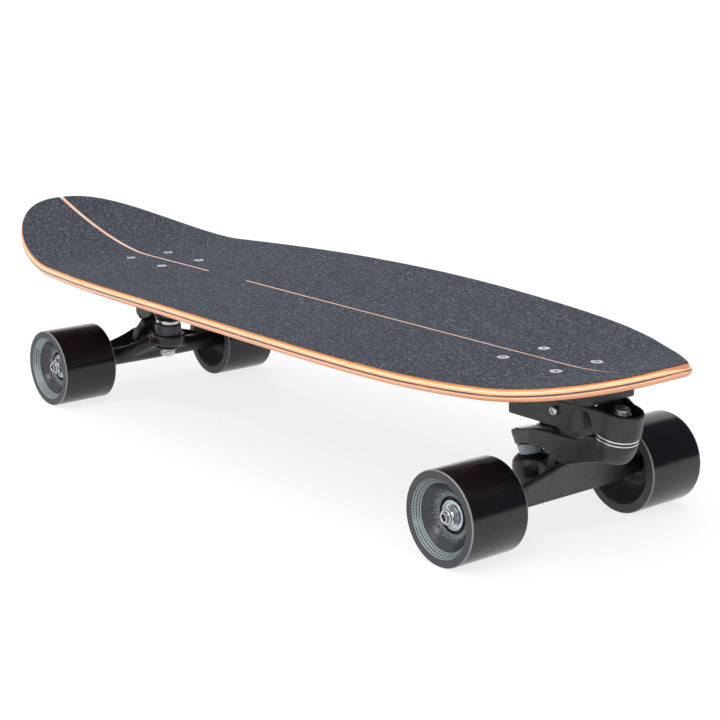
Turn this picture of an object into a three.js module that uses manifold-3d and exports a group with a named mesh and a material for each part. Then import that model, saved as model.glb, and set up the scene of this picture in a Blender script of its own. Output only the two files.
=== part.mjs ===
// A surf skateboard: a kicked deck on a swivelling front truck and a plain rear truck.
// Lengths are millimetres. +X points to the nose, +Y to the left side and +Z up.
// The origin lies on the ground, below the middle of the deck.
import * as THREE from "three";
import { mergeVertices } from "three/addons/utils/BufferGeometryUtils.js";
import Module from "manifold-3d";

const wasm = await Module();
wasm.setup();

// Shared fits
const clearance = 0.3;
const overrun = 3;
const mergeDistance = 0.0001;

const degrees = Math.PI / 180;
const roundSides = 16;
const smallSides = 12;

// Deck: pressed wood with a kicked tail, a turned-up nose and a concave across
const deck = {
  length: 842.5,
  halfWidth: 132.3,
  thickness: 10.5,
  edgeRound: 2.2,
  kickLength: 162,
  kickHeight: 37.8,
  kickPower: 1.6,
  noseLength: 110.5,
  noseLift: 21.8,
  nosePower: 2,
  concave: 8.2,
  concaveCentre: 5.75,
  spansAcross: 6,
  stationsPerPoint: 2,
};

// The outline from the tail tip to the nose tip: share of the half length, share of the half width
const outlineShares = [
  [-1, 0],
  [-0.993, 0.166],
  [-0.9715, 0.305],
  [-0.9264, 0.455],
  [-0.8457, 0.612],
  [-0.7223, 0.752],
  [-0.5, 0.884],
  [-0.3187, 0.951],
  [-0.1288, 0.986],
  [0.1086, 1],
  [0.346, 0.972],
  [0.5359, 0.913],
  [0.6309, 0.852],
  [0.7258, 0.747],
  [0.8208, 0.579],
  [0.9157, 0.31],
  [0.9632, 0.14],
  [0.99, 0.052],
  [1, 0],
];

// Grip sheet: two halves joined behind the middle, with a bare nose tip
const grip = {
  thickness: 0.9,
  gap: 0.4,
  inset: 1.3,
  noseBare: 19.5,
  tailSlitLength: 272,
  bridgeLength: 57,
  slitAtTail: 4.5,
  slitAtBridge: 3.2,
  slitAtNose: 2.3,
  holeRadius: 5.3,
};

// Truck bolts, four to a truck
const bolt = {
  radius: 2.4,
  headRadius: 4.6,
  headDepth: 2.2,
  headProud: 0.7,
  spacingLong: 53.98,
  spacingAcross: 41.28,
  nutRadius: 4.6,
  nutHeight: 5,
  endProud: 3,
  threadDepth: 5.5,
  sides: 8,
};

// Wheels: the tyre's faces and dishes, measured along the axle from the wheel's inner face
const tyre = {
  radius: 35,
  width: 52,
  edgeRound: 2,
  innerMouth: 27,
  outerMouth: 25,
  dishFoot: 14.4,
  sides: 24,
};
const core = {
  radius: 13,
  flangeRadius: 19,
  flangeWidth: 12,
  shoulderRadius: 9,
  outerRecess: 11,
};
const bearing = { radius: 11, width: 7, spacerRadius: 5.6, apart: 10 };
const axle = { radius: 4, pastNut: 2.7 };
const axleNut = { acrossFlats: 13, height: 4, washerRadius: 7.6, washerThickness: 1 };

// Hanger, seen along the axle: X points away from the board's middle, Z along the kingpin
const hanger = {
  halfWidth: 80.7,
  endRadius: 7,
  middleRadius: 8.5,
  ringX: -23.2,
  ringZ: 16.1,
  pivotX: 17,
  pivotZ: 31,
};
const ring = {
  rimRadius: 15.2,
  bellRadius: 17,
  halfHeight: 6,
  lip: 2,
  bore: 7,
  upperSeat: 12.8,
  lowerSeat: 11.5,
  chamfer: 1,
};
const web = {
  footX: 7.8,
  footZ: -7.1,
  lean: 36.2 * degrees,
  thickness: 10,
  height: 28,
  halfSpan: 66,
  topHalfWidth: 15,
};
// The web's side: share of the way out from its top corner, share of its height
const webSideShares = [
  [0, 1],
  [0.27, 0.75],
  [0.55, 0.49],
  [0.76, 0.28],
  [1, 0.1],
];
const yoke = { halfWidth: 14, root: 9, top: 5.4, reach: 12.2 };
const stem = {
  radius: 5.6,
  tipRadius: 3,
  straight: 2,
  tip: 3.6,
  neck: 8,
  neckRadius: 6.4,
  elbow: 3,
  room: 9.4,
};
const column = { footX: 13.5, footZ: 9, footRadius: 7.5 };
const cupWall = 2;

// Kingpin stack, heights along the kingpin from the middle of the hanger's ring
const kingpin = { radius: 4.76, headRadius: 8, headHeight: 6, end: -20 };
const kingpinNut = { acrossFlats: 14.3, height: 5.7, top: -12.3 };
const lowerBushing = { footRadius: 7.7, height: 7.4 };
const cupWasher = { thickness: 2, lowerRadius: 9.1 };

// Front truck: the arm's swivel, its base and the return spring, measured from the axle
const front = {
  behindNose: 119.75,
  height: 80.5,
  pitch: 14 * degrees,
  bushingRadius: 10.3,
  bushingHeight: 11.4,
  washerRadius: 10.6,
  boltCentre: -11.25,
};
const swivel = { x: 56.55, z: 50.5, lean: 11 * degrees, boltRadius: 5 };
const thrust = { radius: 13.5, bore: 6.3, washer: 1, cage: 1.4, cageRadius: 12.9, room: 15.5 };
const swivelBush = { radius: 7.5, height: 9.1 };
const swivelHead = { radius: 8, height: 6 };
const swivelNut = { acrossFlats: 15, height: 8, washerRadius: 9.6, washerThickness: 1.2 };
const arm = {
  bossRadius: 12.5,
  bossHeight: 12.3,
  top: 46.5,
  halfWidth: 17,
  underPivot: 31,
  underPivotX: 11.85,
  dip: 25.9,
  dipX: 26.5,
  barrelDip: 27.9,
  taperX: 34.8,
  barrelRadius: 14.5,
  barrelFoot: 11,
  barrelDepth: 20,
  barrelRound: 1.4,
  shoulder: -14,
};
const flange = {
  tail: -46.75,
  nose: 51.75,
  halfWidth: 28,
  noseHalfWidth: 22,
  corner: 9.5,
  tailCorner: 2,
  thickness: 5.7,
};
const housing = {
  tail: -27.75,
  shoulder: 29.25,
  halfWidth: 26,
  bottom: 54,
  wall: 5,
  ceiling: 4,
  pocketNarrow: 6,
  pocketNose: 30,
  noseWall: 13,
  barrelRadius: 16,
  rim: 18,
  wellRadius: 12.4,
  fluteRadius: 9,
  fluteX: 41,
  fluteY: 27.5,
  fluteTop: 68,
  noseTop: 71,
};
// The housing's side between shoulder and barrel: share of the way, share of the width left
const taperShares = [
  [0.3, 0.86],
  [0.55, 0.46],
  [0.75, 0.14],
  [1, 0],
];
const springPin = { x: 20.25, z: 65, radius: 2.5, headRadius: 3.4, headHeight: 3, farEnd: 4 };
const springPost = { x: -15.75, radius: 2.6, top: 52.5, seat: 2 };
const spring = { wire: 1.2, radius: 3.3, curls: 12, steps: 8, sides: 5 };

// Rear truck: a riser and a base plate with a pedestal, measured from the axle
const rear = {
  aheadOfTail: 171.25,
  pitch: 6 * degrees,
  bushingRadius: 12.3,
  bushingHeight: 14,
  washerRadius: 11.7,
  boltCentre: -25.25,
  headDepth: 12,
};
const plate = {
  inner: -61,
  outer: 20,
  halfWidth: 28,
  corner: 6,
  thickness: 6,
  top: 71,
};
const pedestal = {
  halfWidth: 15.2,
  bossRadius: 14.5,
  foot: -6,
  underPivot: 31,
  lowX: 13.5,
  lowZ: 29,
  outerFoot: 23,
  outer: 29,
  outerZ: 36,
};

// Finishes
const finish = (color, roughness, metalness) =>
  new THREE.MeshStandardMaterial({ color, roughness, metalness });
const finishes = {
  wood: finish(0xd9935a, 0.45, 0),
  grip: finish(0x35383d, 0.95, 0),
  casting: finish(0x3c3c3f, 0.5, 0.4),
  steel: finish(0xc9c9cc, 0.25, 1),
  darkSteel: finish(0x2b2b2d, 0.5, 0.6),
  rubber: finish(0x6f7478, 0.6, 0),
  darkRubber: finish(0x1c1c1e, 0.6, 0),
  tyre: finish(0x16161a, 0.3, 0),
  core: finish(0x0d0d0f, 0.5, 0),
};

// Turns a closed surface into a solid, leaving out triangles that have shrunk to an edge
function solidOf(geometry, frame) {
  const bare = geometry.clone();
  bare.deleteAttribute("normal");
  bare.deleteAttribute("uv");
  if (frame) bare.applyMatrix4(frame.matrix);
  const merged = mergeVertices(bare, mergeDistance);
  const corners = merged.index.array;
  const triangles = [];
  for (let i = 0; i < corners.length; i += 3) {
    const [a, b, c] = corners.slice(i, i + 3);
    if (a !== b && b !== c && c !== a) triangles.push(a, b, c);
  }
  const mesh = new wasm.Mesh({
    numProp: 3,
    vertProperties: merged.attributes.position.array,
    triVerts: new Uint32Array(triangles),
  });
  return new wasm.Manifold(mesh);
}

const joined = (solids) => solids.reduce((whole, piece) => whole.add(piece));
const cutBy = (body, cutters) => cutters.reduce((rest, cutter) => rest.subtract(cutter), body);

// A named mesh of a solid
function meshOf(name, solid, material) {
  const { vertProperties, triVerts } = solid.getMesh();
  const geometry = new THREE.BufferGeometry();
  geometry.setAttribute("position", new THREE.BufferAttribute(vertProperties, 3));
  geometry.setIndex(new THREE.BufferAttribute(triVerts, 1));
  const faceted = geometry.toNonIndexed();
  faceted.computeVertexNormals();
  const mesh = new THREE.Mesh(faceted, material);
  mesh.name = name;
  return mesh;
}

// A frame in the upright middle plane, leaning towards +X by the given angle
function frameAt(x, z, lean) {
  const frame = new THREE.Group();
  frame.position.set(x, 0, z);
  frame.rotation.y = lean;
  frame.updateMatrix();
  return frame;
}

// A frame at a point of space, whose Z axis looks along the given direction
function frameAlong(point, direction) {
  const frame = new THREE.Group();
  frame.position.copy(point);
  frame.quaternion.setFromUnitVectors(new THREE.Vector3(0, 0, 1), direction.clone().normalize());
  frame.updateMatrix();
  return frame;
}

// A round piece about Z: its profile lists radius and height, and closes on the axis or on itself
function turned(profile, sides = roundSides, firstAngle = 0) {
  const points = profile.map(([radius, height]) => new THREE.Vector2(radius, height));
  return new THREE.LatheGeometry(points, sides, firstAngle).rotateX(Math.PI / 2);
}

const rod = (radius, bottom, top, sides = smallSides) =>
  turned([[0, bottom], [radius, bottom], [radius, top], [0, top]], sides);

const tubeRing = (inner, outer, bottom, top, sides = smallSides) =>
  turned([[inner, bottom], [outer, bottom], [outer, top], [inner, top], [inner, bottom]], sides);

// An outline in plan, pulled up from one height to another
function planSlab(outline, bottom, top) {
  const shape = new THREE.Shape(outline.map(([x, y]) => new THREE.Vector2(x, y)));
  const slab = new THREE.ExtrudeGeometry(shape, { depth: top - bottom, bevelEnabled: false });
  return slab.translate(0, 0, bottom);
}

// An outline seen from the side, as x and z, pulled out to both sides of the middle plane
function sideSlab(outline, halfWidth) {
  const shape = new THREE.Shape(outline.map(([x, z]) => new THREE.Vector2(x, z)));
  const slab = new THREE.ExtrudeGeometry(shape, { depth: 2 * halfWidth, bevelEnabled: false });
  return slab.rotateX(Math.PI / 2).translate(0, halfWidth, 0);
}

const mirrored = (half) => [...half, ...half.map(([x, y]) => [x, -y]).reverse()];

const hexagon = (acrossFlats) =>
  Array.from({ length: 6 }, (_, i) => {
    const reach = acrossFlats / 2 / Math.cos(Math.PI / 6);
    return [reach * Math.cos((i * Math.PI) / 3), reach * Math.sin((i * Math.PI) / 3)];
  });

const hexNut = (acrossFlats, boreRadius, bottom, top) =>
  solidOf(planSlab(hexagon(acrossFlats), bottom, top)).subtract(
    solidOf(rod(boreRadius, bottom - overrun, top + overrun)),
  );

// A skin over rings of points that run from the skin's start to its end
function skinOver(rings, capStart, capEnd) {
  const around = rings[0].length;
  const corners = [];
  for (let i = 0; i + 1 < rings.length; i++) {
    for (let j = 0; j < around; j++) {
      const here = i * around + j;
      const next = i * around + ((j + 1) % around);
      corners.push(here, here + around, next + around);
      corners.push(here, next + around, next);
    }
  }
  const last = (rings.length - 1) * around;
  for (let j = 1; j + 1 < around; j++) {
    if (capStart) corners.push(0, j, j + 1);
    if (capEnd) corners.push(last, last + j + 1, last + j);
  }
  const geometry = new THREE.BufferGeometry().setFromPoints(rings.flat());
  geometry.setIndex(corners);
  return geometry;
}

// Places that follow from the driving dimensions
const axleHeight = tyre.radius;
const deckUnder = axleHeight + front.height;
const deckTop = deckUnder + deck.thickness;
const halfLength = deck.length / 2;
const frontAxleX = halfLength - front.behindNose;
const rearAxleX = rear.aheadOfTail - halfLength;
const innerBearingEnd = hanger.halfWidth + clearance + bearing.width;
const outerBearingEnd = innerBearingEnd + bearing.apart + bearing.width;
const axleWasherStart = outerBearingEnd + clearance;
const axleNutStart = axleWasherStart + axleNut.washerThickness;
const axleNutEnd = axleNutStart + axleNut.height;
const axleEnd = axleNutEnd + axle.pastNut;
const wheelOuter = outerBearingEnd + core.outerRecess;
const wheelInner = wheelOuter - tyre.width;
const gripNose = halfLength - grip.noseBare;
const bridgeTail = grip.tailSlitLength - halfLength;
const bridgeNose = bridgeTail + grip.bridgeLength;

// Deck surface
function centreRise(x) {
  const kick = Math.max(0, deck.kickLength - halfLength - x) / deck.kickLength;
  const nose = Math.max(0, x - halfLength + deck.noseLength) / deck.noseLength;
  return deck.kickHeight * kick ** deck.kickPower + deck.noseLift * nose ** deck.nosePower;
}

function edgeRise(x) {
  const away = (x - deck.concaveCentre) / halfLength;
  return deck.concave * Math.cos((Math.PI / 2) * Math.min(1, Math.abs(away))) ** 2;
}

// Stations from the tail tip to the nose tip, each with its half width
function outlineStations() {
  const side = outlineShares.map(([along, across]) => [along * halfLength, across * deck.halfWidth]);
  const loop = [...side, ...side.slice(1, -1).map(([x, y]) => [x, -y]).reverse()];
  const points = loop.map(([x, y]) => new THREE.Vector3(x, y, 0));
  const curve = new THREE.CatmullRomCurve3(points, true, "centripetal");
  const count = (side.length - 1) * deck.stationsPerPoint;
  const stations = [];
  for (let i = 0; i <= count; i++) {
    const point = curve.getPoint(i / (loop.length * deck.stationsPerPoint));
    stations.push([point.x, Math.abs(point.y)]);
  }
  return stations;
}

// A ring across the board at one station, between two heights above the wood's top
function boardRing(x, halfWidth, fullWidth, low, high, edgeRound) {
  const flat = Math.max(0, halfWidth - edgeRound);
  const curl = fullWidth > 0 ? edgeRise(x) / fullWidth ** 2 : 0;
  const lift = (y) => deckTop + centreRise(x) + curl * y ** 2;
  const fractions = [];
  for (let i = 0; i <= deck.spansAcross; i++) {
    fractions.push((2 * i) / deck.spansAcross - 1);
  }
  const row = (height) => fractions.map((f) => new THREE.Vector3(x, f * flat, lift(f * flat) + height));
  const edge = (side) => new THREE.Vector3(x, side * halfWidth, lift(halfWidth) + (low + high) / 2);
  return edgeRound > 0
    ? [...row(high), edge(1), ...row(low).reverse(), edge(-1)]
    : [...row(high), ...row(low).reverse()];
}

const boltPlaces = (centre) =>
  [-1, 1].flatMap((along) =>
    [-1, 1].map((across) => [
      centre + (along * bolt.spacingLong) / 2,
      (across * bolt.spacingAcross) / 2,
    ]),
  );
const frontBoltCentre = frontAxleX + front.boltCentre;
const rearBoltCentre = rearAxleX - rear.boltCentre;
const allBoltPlaces = [...boltPlaces(frontBoltCentre), ...boltPlaces(rearBoltCentre)];

const shifted = (geometry, x, y, z) => geometry.clone().translate(x, y, z);

function makeDeck() {
  const rings = outlineStations().map(([x, halfWidth]) =>
    boardRing(x, halfWidth, halfWidth, -deck.thickness, 0, deck.edgeRound),
  );
  const hole = turned(
    [
      [0, -deck.thickness - overrun],
      [bolt.radius + clearance, -deck.thickness - overrun],
      [bolt.radius + clearance, -bolt.headDepth - clearance],
      [bolt.headRadius + clearance, -clearance],
      [bolt.headRadius + clearance, overrun],
      [0, overrun],
    ],
    bolt.sides,
  );
  const holes = allBoltPlaces.map(([x, y]) => solidOf(shifted(hole, x, y, deckTop)));
  return meshOf("deck", cutBy(solidOf(skinOver(rings, false, false)), holes), finishes.wood);
}

function makeGriptape() {
  const stations = outlineStations()
    .slice(1)
    .map(([x, w]) => [x, w - grip.inset, w]);
  const kept = stations.filter(([x]) => x < gripNose - grip.inset);
  const [lastX, lastHalf, lastFull] = kept.at(-1);
  const [nextX, nextHalf, nextFull] = stations[kept.length];
  const share = (gripNose - lastX) / (nextX - lastX);
  kept.push([
    gripNose,
    lastHalf + share * (nextHalf - lastHalf),
    lastFull + share * (nextFull - lastFull),
  ]);
  const rings = kept.map(([x, half, full]) =>
    boardRing(x, half, full, grip.gap, grip.gap + grip.thickness, 0),
  );
  const slitTop = deckTop + deck.kickHeight + deck.noseLift;
  const slit = (startX, startWidth, endX, endWidth) =>
    solidOf(
      planSlab(mirrored([[startX, startWidth / 2], [endX, endWidth / 2]]), deckUnder, slitTop),
    );
  const hole = rod(grip.holeRadius, deckUnder, deckTop + overrun, bolt.sides);
  const cutters = [
    slit(-halfLength, grip.slitAtTail, bridgeTail, grip.slitAtBridge),
    slit(bridgeNose, grip.slitAtBridge, halfLength, grip.slitAtNose),
    ...allBoltPlaces.map(([x, y]) => solidOf(shifted(hole, x, y, 0))),
  ];
  return meshOf("griptape", cutBy(solidOf(skinOver(rings, true, true)), cutters), finishes.grip);
}

// A countersunk bolt with its nut under the stack that it holds, or screwed into the casting
function makeBolt(name, x, y, stack, threaded) {
  const nutTop = -stack - clearance;
  const nutBottom = nutTop - bolt.nutHeight;
  const end = threaded ? -stack - bolt.threadDepth : nutBottom - bolt.endProud;
  const nut = threaded
    ? []
    : [
        [bolt.radius, nutBottom],
        [bolt.nutRadius, nutBottom],
        [bolt.nutRadius, nutTop],
        [bolt.radius, nutTop],
      ];
  const profile = [
    [0, end],
    [bolt.radius, end],
    ...nut,
    [bolt.radius, -bolt.headDepth],
    [bolt.headRadius, 0],
    [bolt.headRadius, bolt.headProud],
    [0, bolt.headProud],
  ];
  const mesh = meshOf(name, solidOf(turned(profile, bolt.sides)), finishes.steel);
  mesh.position.set(x, y, deckTop);
  return mesh;
}

const frontStack = deck.thickness + clearance + flange.thickness;
const riserTop = front.height - clearance;
const riserBottom = plate.top + clearance;
const rearStack = deckTop - axleHeight - plate.top + plate.thickness;
const corners = ["inner_right", "inner_left", "outer_right", "outer_left"];

function makeBolts() {
  const frontBolts = boltPlaces(frontBoltCentre).map(([x, y], i) => {
    const name = `front_bolt_${corners[i]}`;
    return makeBolt(name, x, y, frontStack, x > frontBoltCentre);
  });
  const rearBolts = boltPlaces(rearBoltCentre).map(([x, y], i) => {
    const name = `rear_bolt_${corners[(i + 2) % corners.length]}`;
    return makeBolt(name, x, y, rearStack, false);
  });
  return [...frontBolts, ...rearBolts];
}

// Wheel
function makeWheel(prefix, side) {
  const wheel = new THREE.Group();
  wheel.position.set(0, side * wheelInner, 0);
  wheel.rotation.x = (-side * Math.PI) / 2;
  const facetReach = 1 / Math.cos(Math.PI / tyre.sides);
  const tread = tyre.radius * facetReach;
  const face = tyre.radius - tyre.edgeRound;
  const end = outerBearingEnd - wheelInner;
  const start = hanger.halfWidth - wheelInner + clearance;
  const middle = (start + end) / 2;
  const flangeLow = middle - core.flangeWidth / 2;
  const flangeHigh = middle + core.flangeWidth / 2;
  const bore = core.radius + clearance;
  const groove = core.flangeRadius + clearance;
  const tyreProfile = [
    [bore, start],
    [tyre.dishFoot, start],
    [tyre.innerMouth, tyre.edgeRound / 2],
    [face, 0],
    [tread, tyre.edgeRound],
    [tread, tyre.width - tyre.edgeRound],
    [face, tyre.width],
    [tyre.outerMouth, tyre.width],
    [tyre.dishFoot, end],
    [bore, end],
    [bore, flangeHigh + clearance],
    [groove, flangeHigh + clearance],
    [groove, flangeLow - clearance],
    [bore, flangeLow - clearance],
    [bore, start],
  ];
  const seat = bearing.radius + clearance;
  const coreProfile = [
    [seat, start],
    [core.radius, start],
    [core.radius, flangeLow],
    [core.flangeRadius, flangeLow],
    [core.flangeRadius, flangeHigh],
    [core.radius, flangeHigh],
    [core.radius, end],
    [seat, end],
    [seat, end - bearing.width - clearance],
    [core.shoulderRadius, end - bearing.width - clearance],
    [core.shoulderRadius, start + bearing.width + clearance],
    [seat, start + bearing.width + clearance],
    [seat, start],
  ];
  const bearingBore = axle.radius + clearance;
  const innerProfile = [
    [bearingBore, start],
    [bearing.radius, start],
    [bearing.radius, start + bearing.width],
    [bearing.spacerRadius, start + bearing.width],
    [bearing.spacerRadius, end - bearing.width - clearance],
    [bearingBore, end - bearing.width - clearance],
    [bearingBore, start],
  ];
  const firstAngle = Math.PI / tyre.sides;
  wheel.add(
    meshOf(`${prefix}_tyre`, solidOf(turned(tyreProfile, tyre.sides, firstAngle)), finishes.tyre),
    meshOf(`${prefix}_core`, solidOf(turned(coreProfile, smallSides)), finishes.core),
    meshOf(`${prefix}_inner_bearing`, solidOf(turned(innerProfile, smallSides)), finishes.steel),
    meshOf(
      `${prefix}_outer_bearing`,
      solidOf(tubeRing(bearingBore, bearing.radius, end - bearing.width, end)),
      finishes.steel,
    ),
  );
  return wheel;
}

function makeAxleNut(prefix, side) {
  const bore = axle.radius + clearance;
  const nut = hexNut(axleNut.acrossFlats, bore, axleWasherStart, axleNutEnd);
  const washer = tubeRing(bore, axleNut.washerRadius, axleWasherStart, axleNutStart);
  const mesh = meshOf(`${prefix}_axle_nut`, nut.add(solidOf(washer)), finishes.steel);
  mesh.rotation.x = (-side * Math.PI) / 2;
  return mesh;
}

// Hanger
const ringCentre = new THREE.Vector3(hanger.ringX, 0, hanger.ringZ);
const pivotCentre = new THREE.Vector3(hanger.pivotX, 0, hanger.pivotZ);
const steering = pivotCentre.clone().sub(ringCentre).normalize();
const ringFrame = frameAlong(ringCentre, new THREE.Vector3(0, 0, 1));
const pivotFrame = frameAlong(pivotCentre, steering);
const crossFrame = frameAlong(new THREE.Vector3(), new THREE.Vector3(0, 1, 0));

function webSolid() {
  const along = new THREE.Vector3(Math.sin(web.lean), 0, Math.cos(web.lean));
  const across = new THREE.Vector3(0, 1, 0);
  const out = across.clone().cross(along);
  const foot = new THREE.Vector3(web.footX, 0, web.footZ).addScaledVector(out, -web.thickness);
  const frame = new THREE.Group();
  frame.matrix.makeBasis(across, along, out).setPosition(foot);
  const side = webSideShares.map(([outward, up]) => [
    web.topHalfWidth + outward * (web.halfSpan - web.topHalfWidth),
    up * web.height,
  ]);
  const half = [...side, [web.halfSpan - hanger.endRadius, 0]];
  const outline = [...half, ...half.map(([y, z]) => [-y, z]).reverse()];
  return solidOf(planSlab(outline, 0, web.thickness), frame);
}

function hangerSolid() {
  const beam = turned([
    [0, -hanger.halfWidth],
    [hanger.endRadius, -hanger.halfWidth],
    [hanger.middleRadius, 0],
    [hanger.endRadius, hanger.halfWidth],
    [0, hanger.halfWidth],
  ]);
  const boss = turned([
    [0, -ring.halfHeight],
    [ring.bellRadius - ring.chamfer, -ring.halfHeight],
    [ring.bellRadius, -ring.halfHeight + ring.chamfer],
    [ring.rimRadius, ring.halfHeight - ring.chamfer],
    [ring.rimRadius - ring.chamfer, ring.halfHeight],
    [0, ring.halfHeight],
  ]);
  const bridge = sideSlab(
    [
      [hanger.ringX, hanger.ringZ - ring.halfHeight],
      [hanger.ringX + yoke.reach, hanger.ringZ - ring.halfHeight],
      [-hanger.endRadius, -hanger.endRadius / 2],
      [0, -hanger.endRadius],
      [yoke.root, 0],
      [yoke.root, yoke.root],
      [0, hanger.ringZ],
      [hanger.ringX + yoke.reach, hanger.ringZ + yoke.top],
      [hanger.ringX, hanger.ringZ + yoke.top],
    ],
    yoke.halfWidth,
  );
  const elbow = pivotCentre.clone().addScaledVector(steering, -stem.neck);
  const foot = new THREE.Vector3(column.footX, 0, column.footZ);
  const columnFrame = frameAlong(foot, elbow.clone().sub(foot));
  const columnLength = elbow.distanceTo(foot);
  const riseToStem = turned(
    [
      [0, 0],
      [column.footRadius, 0],
      [stem.neckRadius, columnLength],
      [stem.neckRadius - stem.elbow, columnLength + stem.elbow],
      [0, columnLength + stem.elbow],
    ],
    smallSides,
  );
  const nose = turned([
    [0, -stem.neck - stem.elbow],
    [stem.neckRadius - stem.elbow, -stem.neck - stem.elbow],
    [stem.neckRadius, -stem.neck],
    [stem.neckRadius, -stem.straight - clearance],
    [stem.radius, -stem.straight + clearance],
    [stem.radius, stem.straight],
    [stem.tipRadius, stem.straight + stem.tip],
    [0, stem.straight + stem.tip],
  ]);
  const body = joined([
    solidOf(beam, crossFrame),
    webSolid(),
    solidOf(bridge),
    solidOf(boss, ringFrame),
    solidOf(riseToStem, columnFrame),
    solidOf(nose, pivotFrame),
  ]);
  const ringCut = turned([
    [0, -ring.halfHeight - overrun],
    [ring.lowerSeat, -ring.halfHeight - overrun],
    [ring.lowerSeat, -ring.lip],
    [ring.bore, -ring.lip],
    [ring.bore, ring.lip],
    [ring.upperSeat, ring.lip],
    [ring.upperSeat, ring.halfHeight + overrun],
    [0, ring.halfHeight + overrun],
  ]);
  const boreEnd = hanger.halfWidth + overrun;
  const bore = rod(axle.radius + clearance, -boreEnd, boreEnd, roundSides);
  return cutBy(body, [solidOf(ringCut, ringFrame), solidOf(bore, crossFrame)]);
}

// The pivot cup's profile grows round the stem by the given step
const aroundStem = (step) => [
  [stem.radius + step, stem.straight + step / 2],
  [stem.tipRadius + step, stem.straight + stem.tip + step],
  [0, stem.straight + stem.tip + step],
];

function pivotCupSolid() {
  const mouth = clearance - stem.straight;
  return solidOf(
    turned([
      ...aroundStem(clearance).reverse(),
      [stem.radius + clearance, mouth],
      [stem.radius + clearance + cupWall, mouth],
      ...aroundStem(clearance + cupWall),
    ]),
    pivotFrame,
  );
}

// What the hanger, its kingpin and its pivot cup need cut out of the piece that carries them
function carrierCuts(hangerFrame, truck, headSeat) {
  const seat = seatOf(truck);
  const mouth = -stem.straight;
  const far = hanger.pivotX - hanger.ringX;
  const pocket = turned([
    [0, -far],
    [stem.room, -far],
    [stem.room, mouth],
    [stem.radius + cupWall + 2 * clearance, mouth],
    ...aroundStem(2 * clearance + cupWall),
  ]);
  const top = headSeat + kingpin.headHeight + front.height;
  const pinCut = turned([
    [0, 0],
    [truck.washerRadius + ring.chamfer, 0],
    [truck.washerRadius + ring.chamfer, seat],
    [kingpin.radius + clearance, seat],
    [kingpin.radius + clearance, headSeat],
    [kingpin.headRadius + clearance, headSeat],
    [kingpin.headRadius + clearance, top],
    [0, top],
  ]);
  const inHanger = (geometry, frame) => {
    const placed = new THREE.Group();
    placed.matrix.multiplyMatrices(hangerFrame.matrix, frame.matrix);
    return solidOf(geometry, placed);
  };
  return [inHanger(pocket, pivotFrame), inHanger(pinCut, ringFrame)];
}

// The kingpin with its bushings, washers and nut, round the hanger's ring
const seatOf = (truck) =>
  ring.lip + clearance + truck.bushingHeight + clearance + cupWasher.thickness + clearance;

function makeKingpinGroup(prefix, truck, headSeat) {
  const group = new THREE.Group();
  group.position.copy(ringCentre);
  const bore = kingpin.radius + clearance;
  const seat = seatOf(truck);
  const headTop = headSeat + clearance + kingpin.headHeight;
  const pin = turned([
    [0, kingpin.end],
    [kingpin.radius, kingpin.end],
    [kingpin.radius, headSeat + clearance],
    [kingpin.headRadius, headSeat + clearance],
    [kingpin.headRadius, headTop - ring.chamfer],
    [kingpin.headRadius - ring.chamfer, headTop],
    [0, headTop],
  ]);
  const upperBottom = ring.lip + clearance;
  const upperTop = upperBottom + truck.bushingHeight;
  const upper = turned([
    [bore, upperBottom],
    [ring.upperSeat - clearance, upperBottom],
    [ring.upperSeat - clearance, ring.halfHeight - ring.chamfer],
    [truck.bushingRadius, ring.halfHeight],
    [truck.bushingRadius, upperTop],
    [bore, upperTop],
    [bore, upperBottom],
  ]);
  const lowerTop = -ring.lip - clearance;
  const lowerBottom = lowerTop - lowerBushing.height;
  const lower = turned([
    [bore, lowerBottom],
    [lowerBushing.footRadius, lowerBottom],
    [ring.lowerSeat - clearance, -ring.halfHeight],
    [ring.lowerSeat - clearance, lowerTop],
    [bore, lowerTop],
    [bore, lowerBottom],
  ]);
  const washerTop = lowerBottom - clearance;
  const upperWasher = tubeRing(bore, truck.washerRadius, upperTop + clearance, seat - clearance);
  const lowerWasher = tubeRing(
    bore,
    cupWasher.lowerRadius,
    washerTop - cupWasher.thickness,
    washerTop,
  );
  const nut = hexNut(kingpinNut.acrossFlats, bore, kingpinNut.top - kingpinNut.height, kingpinNut.top);
  const part = (name, solid, material) => meshOf(`${prefix}_${name}`, solid, material);
  group.add(
    part("kingpin", solidOf(pin), finishes.steel),
    part("upper_bushing", solidOf(upper), finishes.rubber),
    part("lower_bushing", solidOf(lower), finishes.darkRubber),
    part("upper_cup_washer", solidOf(upperWasher), finishes.steel),
    part("lower_cup_washer", solidOf(lowerWasher), finishes.steel),
    part("kingpin_nut", nut, finishes.steel),
  );
  return group;
}

function makeHangerGroup(prefix, truck, headSeat) {
  const group = frameAt(0, 0, -truck.pitch);
  group.add(
    meshOf(`${prefix}_hanger`, hangerSolid(), finishes.casting),
    meshOf(`${prefix}_pivot_cup`, pivotCupSolid(), finishes.darkRubber),
    meshOf(`${prefix}_axle`, solidOf(rod(axle.radius, -axleEnd, axleEnd), crossFrame), finishes.steel),
    makeKingpinGroup(prefix, truck, headSeat),
  );
  return group;
}

const sideName = (side) => (side > 0 ? "left" : "right");

function makeTruckWheels(prefix, turn) {
  return [-1, 1].flatMap((side) => {
    const name = `${prefix}_${sideName(turn * side)}`;
    return [makeWheel(name, side), makeAxleNut(name, side)];
  });
}

// Front truck
const swivelFrame = frameAt(swivel.x, swivel.z, swivel.lean);
const frontHangerFrame = frameAt(0, 0, -front.pitch);
const frontSeat = seatOf(front);
const frontHeadSeat = frontSeat + arm.bossHeight - kingpin.headHeight;
const upperWasherBottom = thrust.cage / 2 - clearance / 2;
const barrelBottom = upperWasherBottom + thrust.washer + clearance;
const lowerWasherTop = -thrust.cage / 2 - clearance;
const armBarrelTop = lowerWasherTop - thrust.washer - clearance;
const wellFloor = barrelBottom + 2 * clearance + swivelBush.height;

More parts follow.
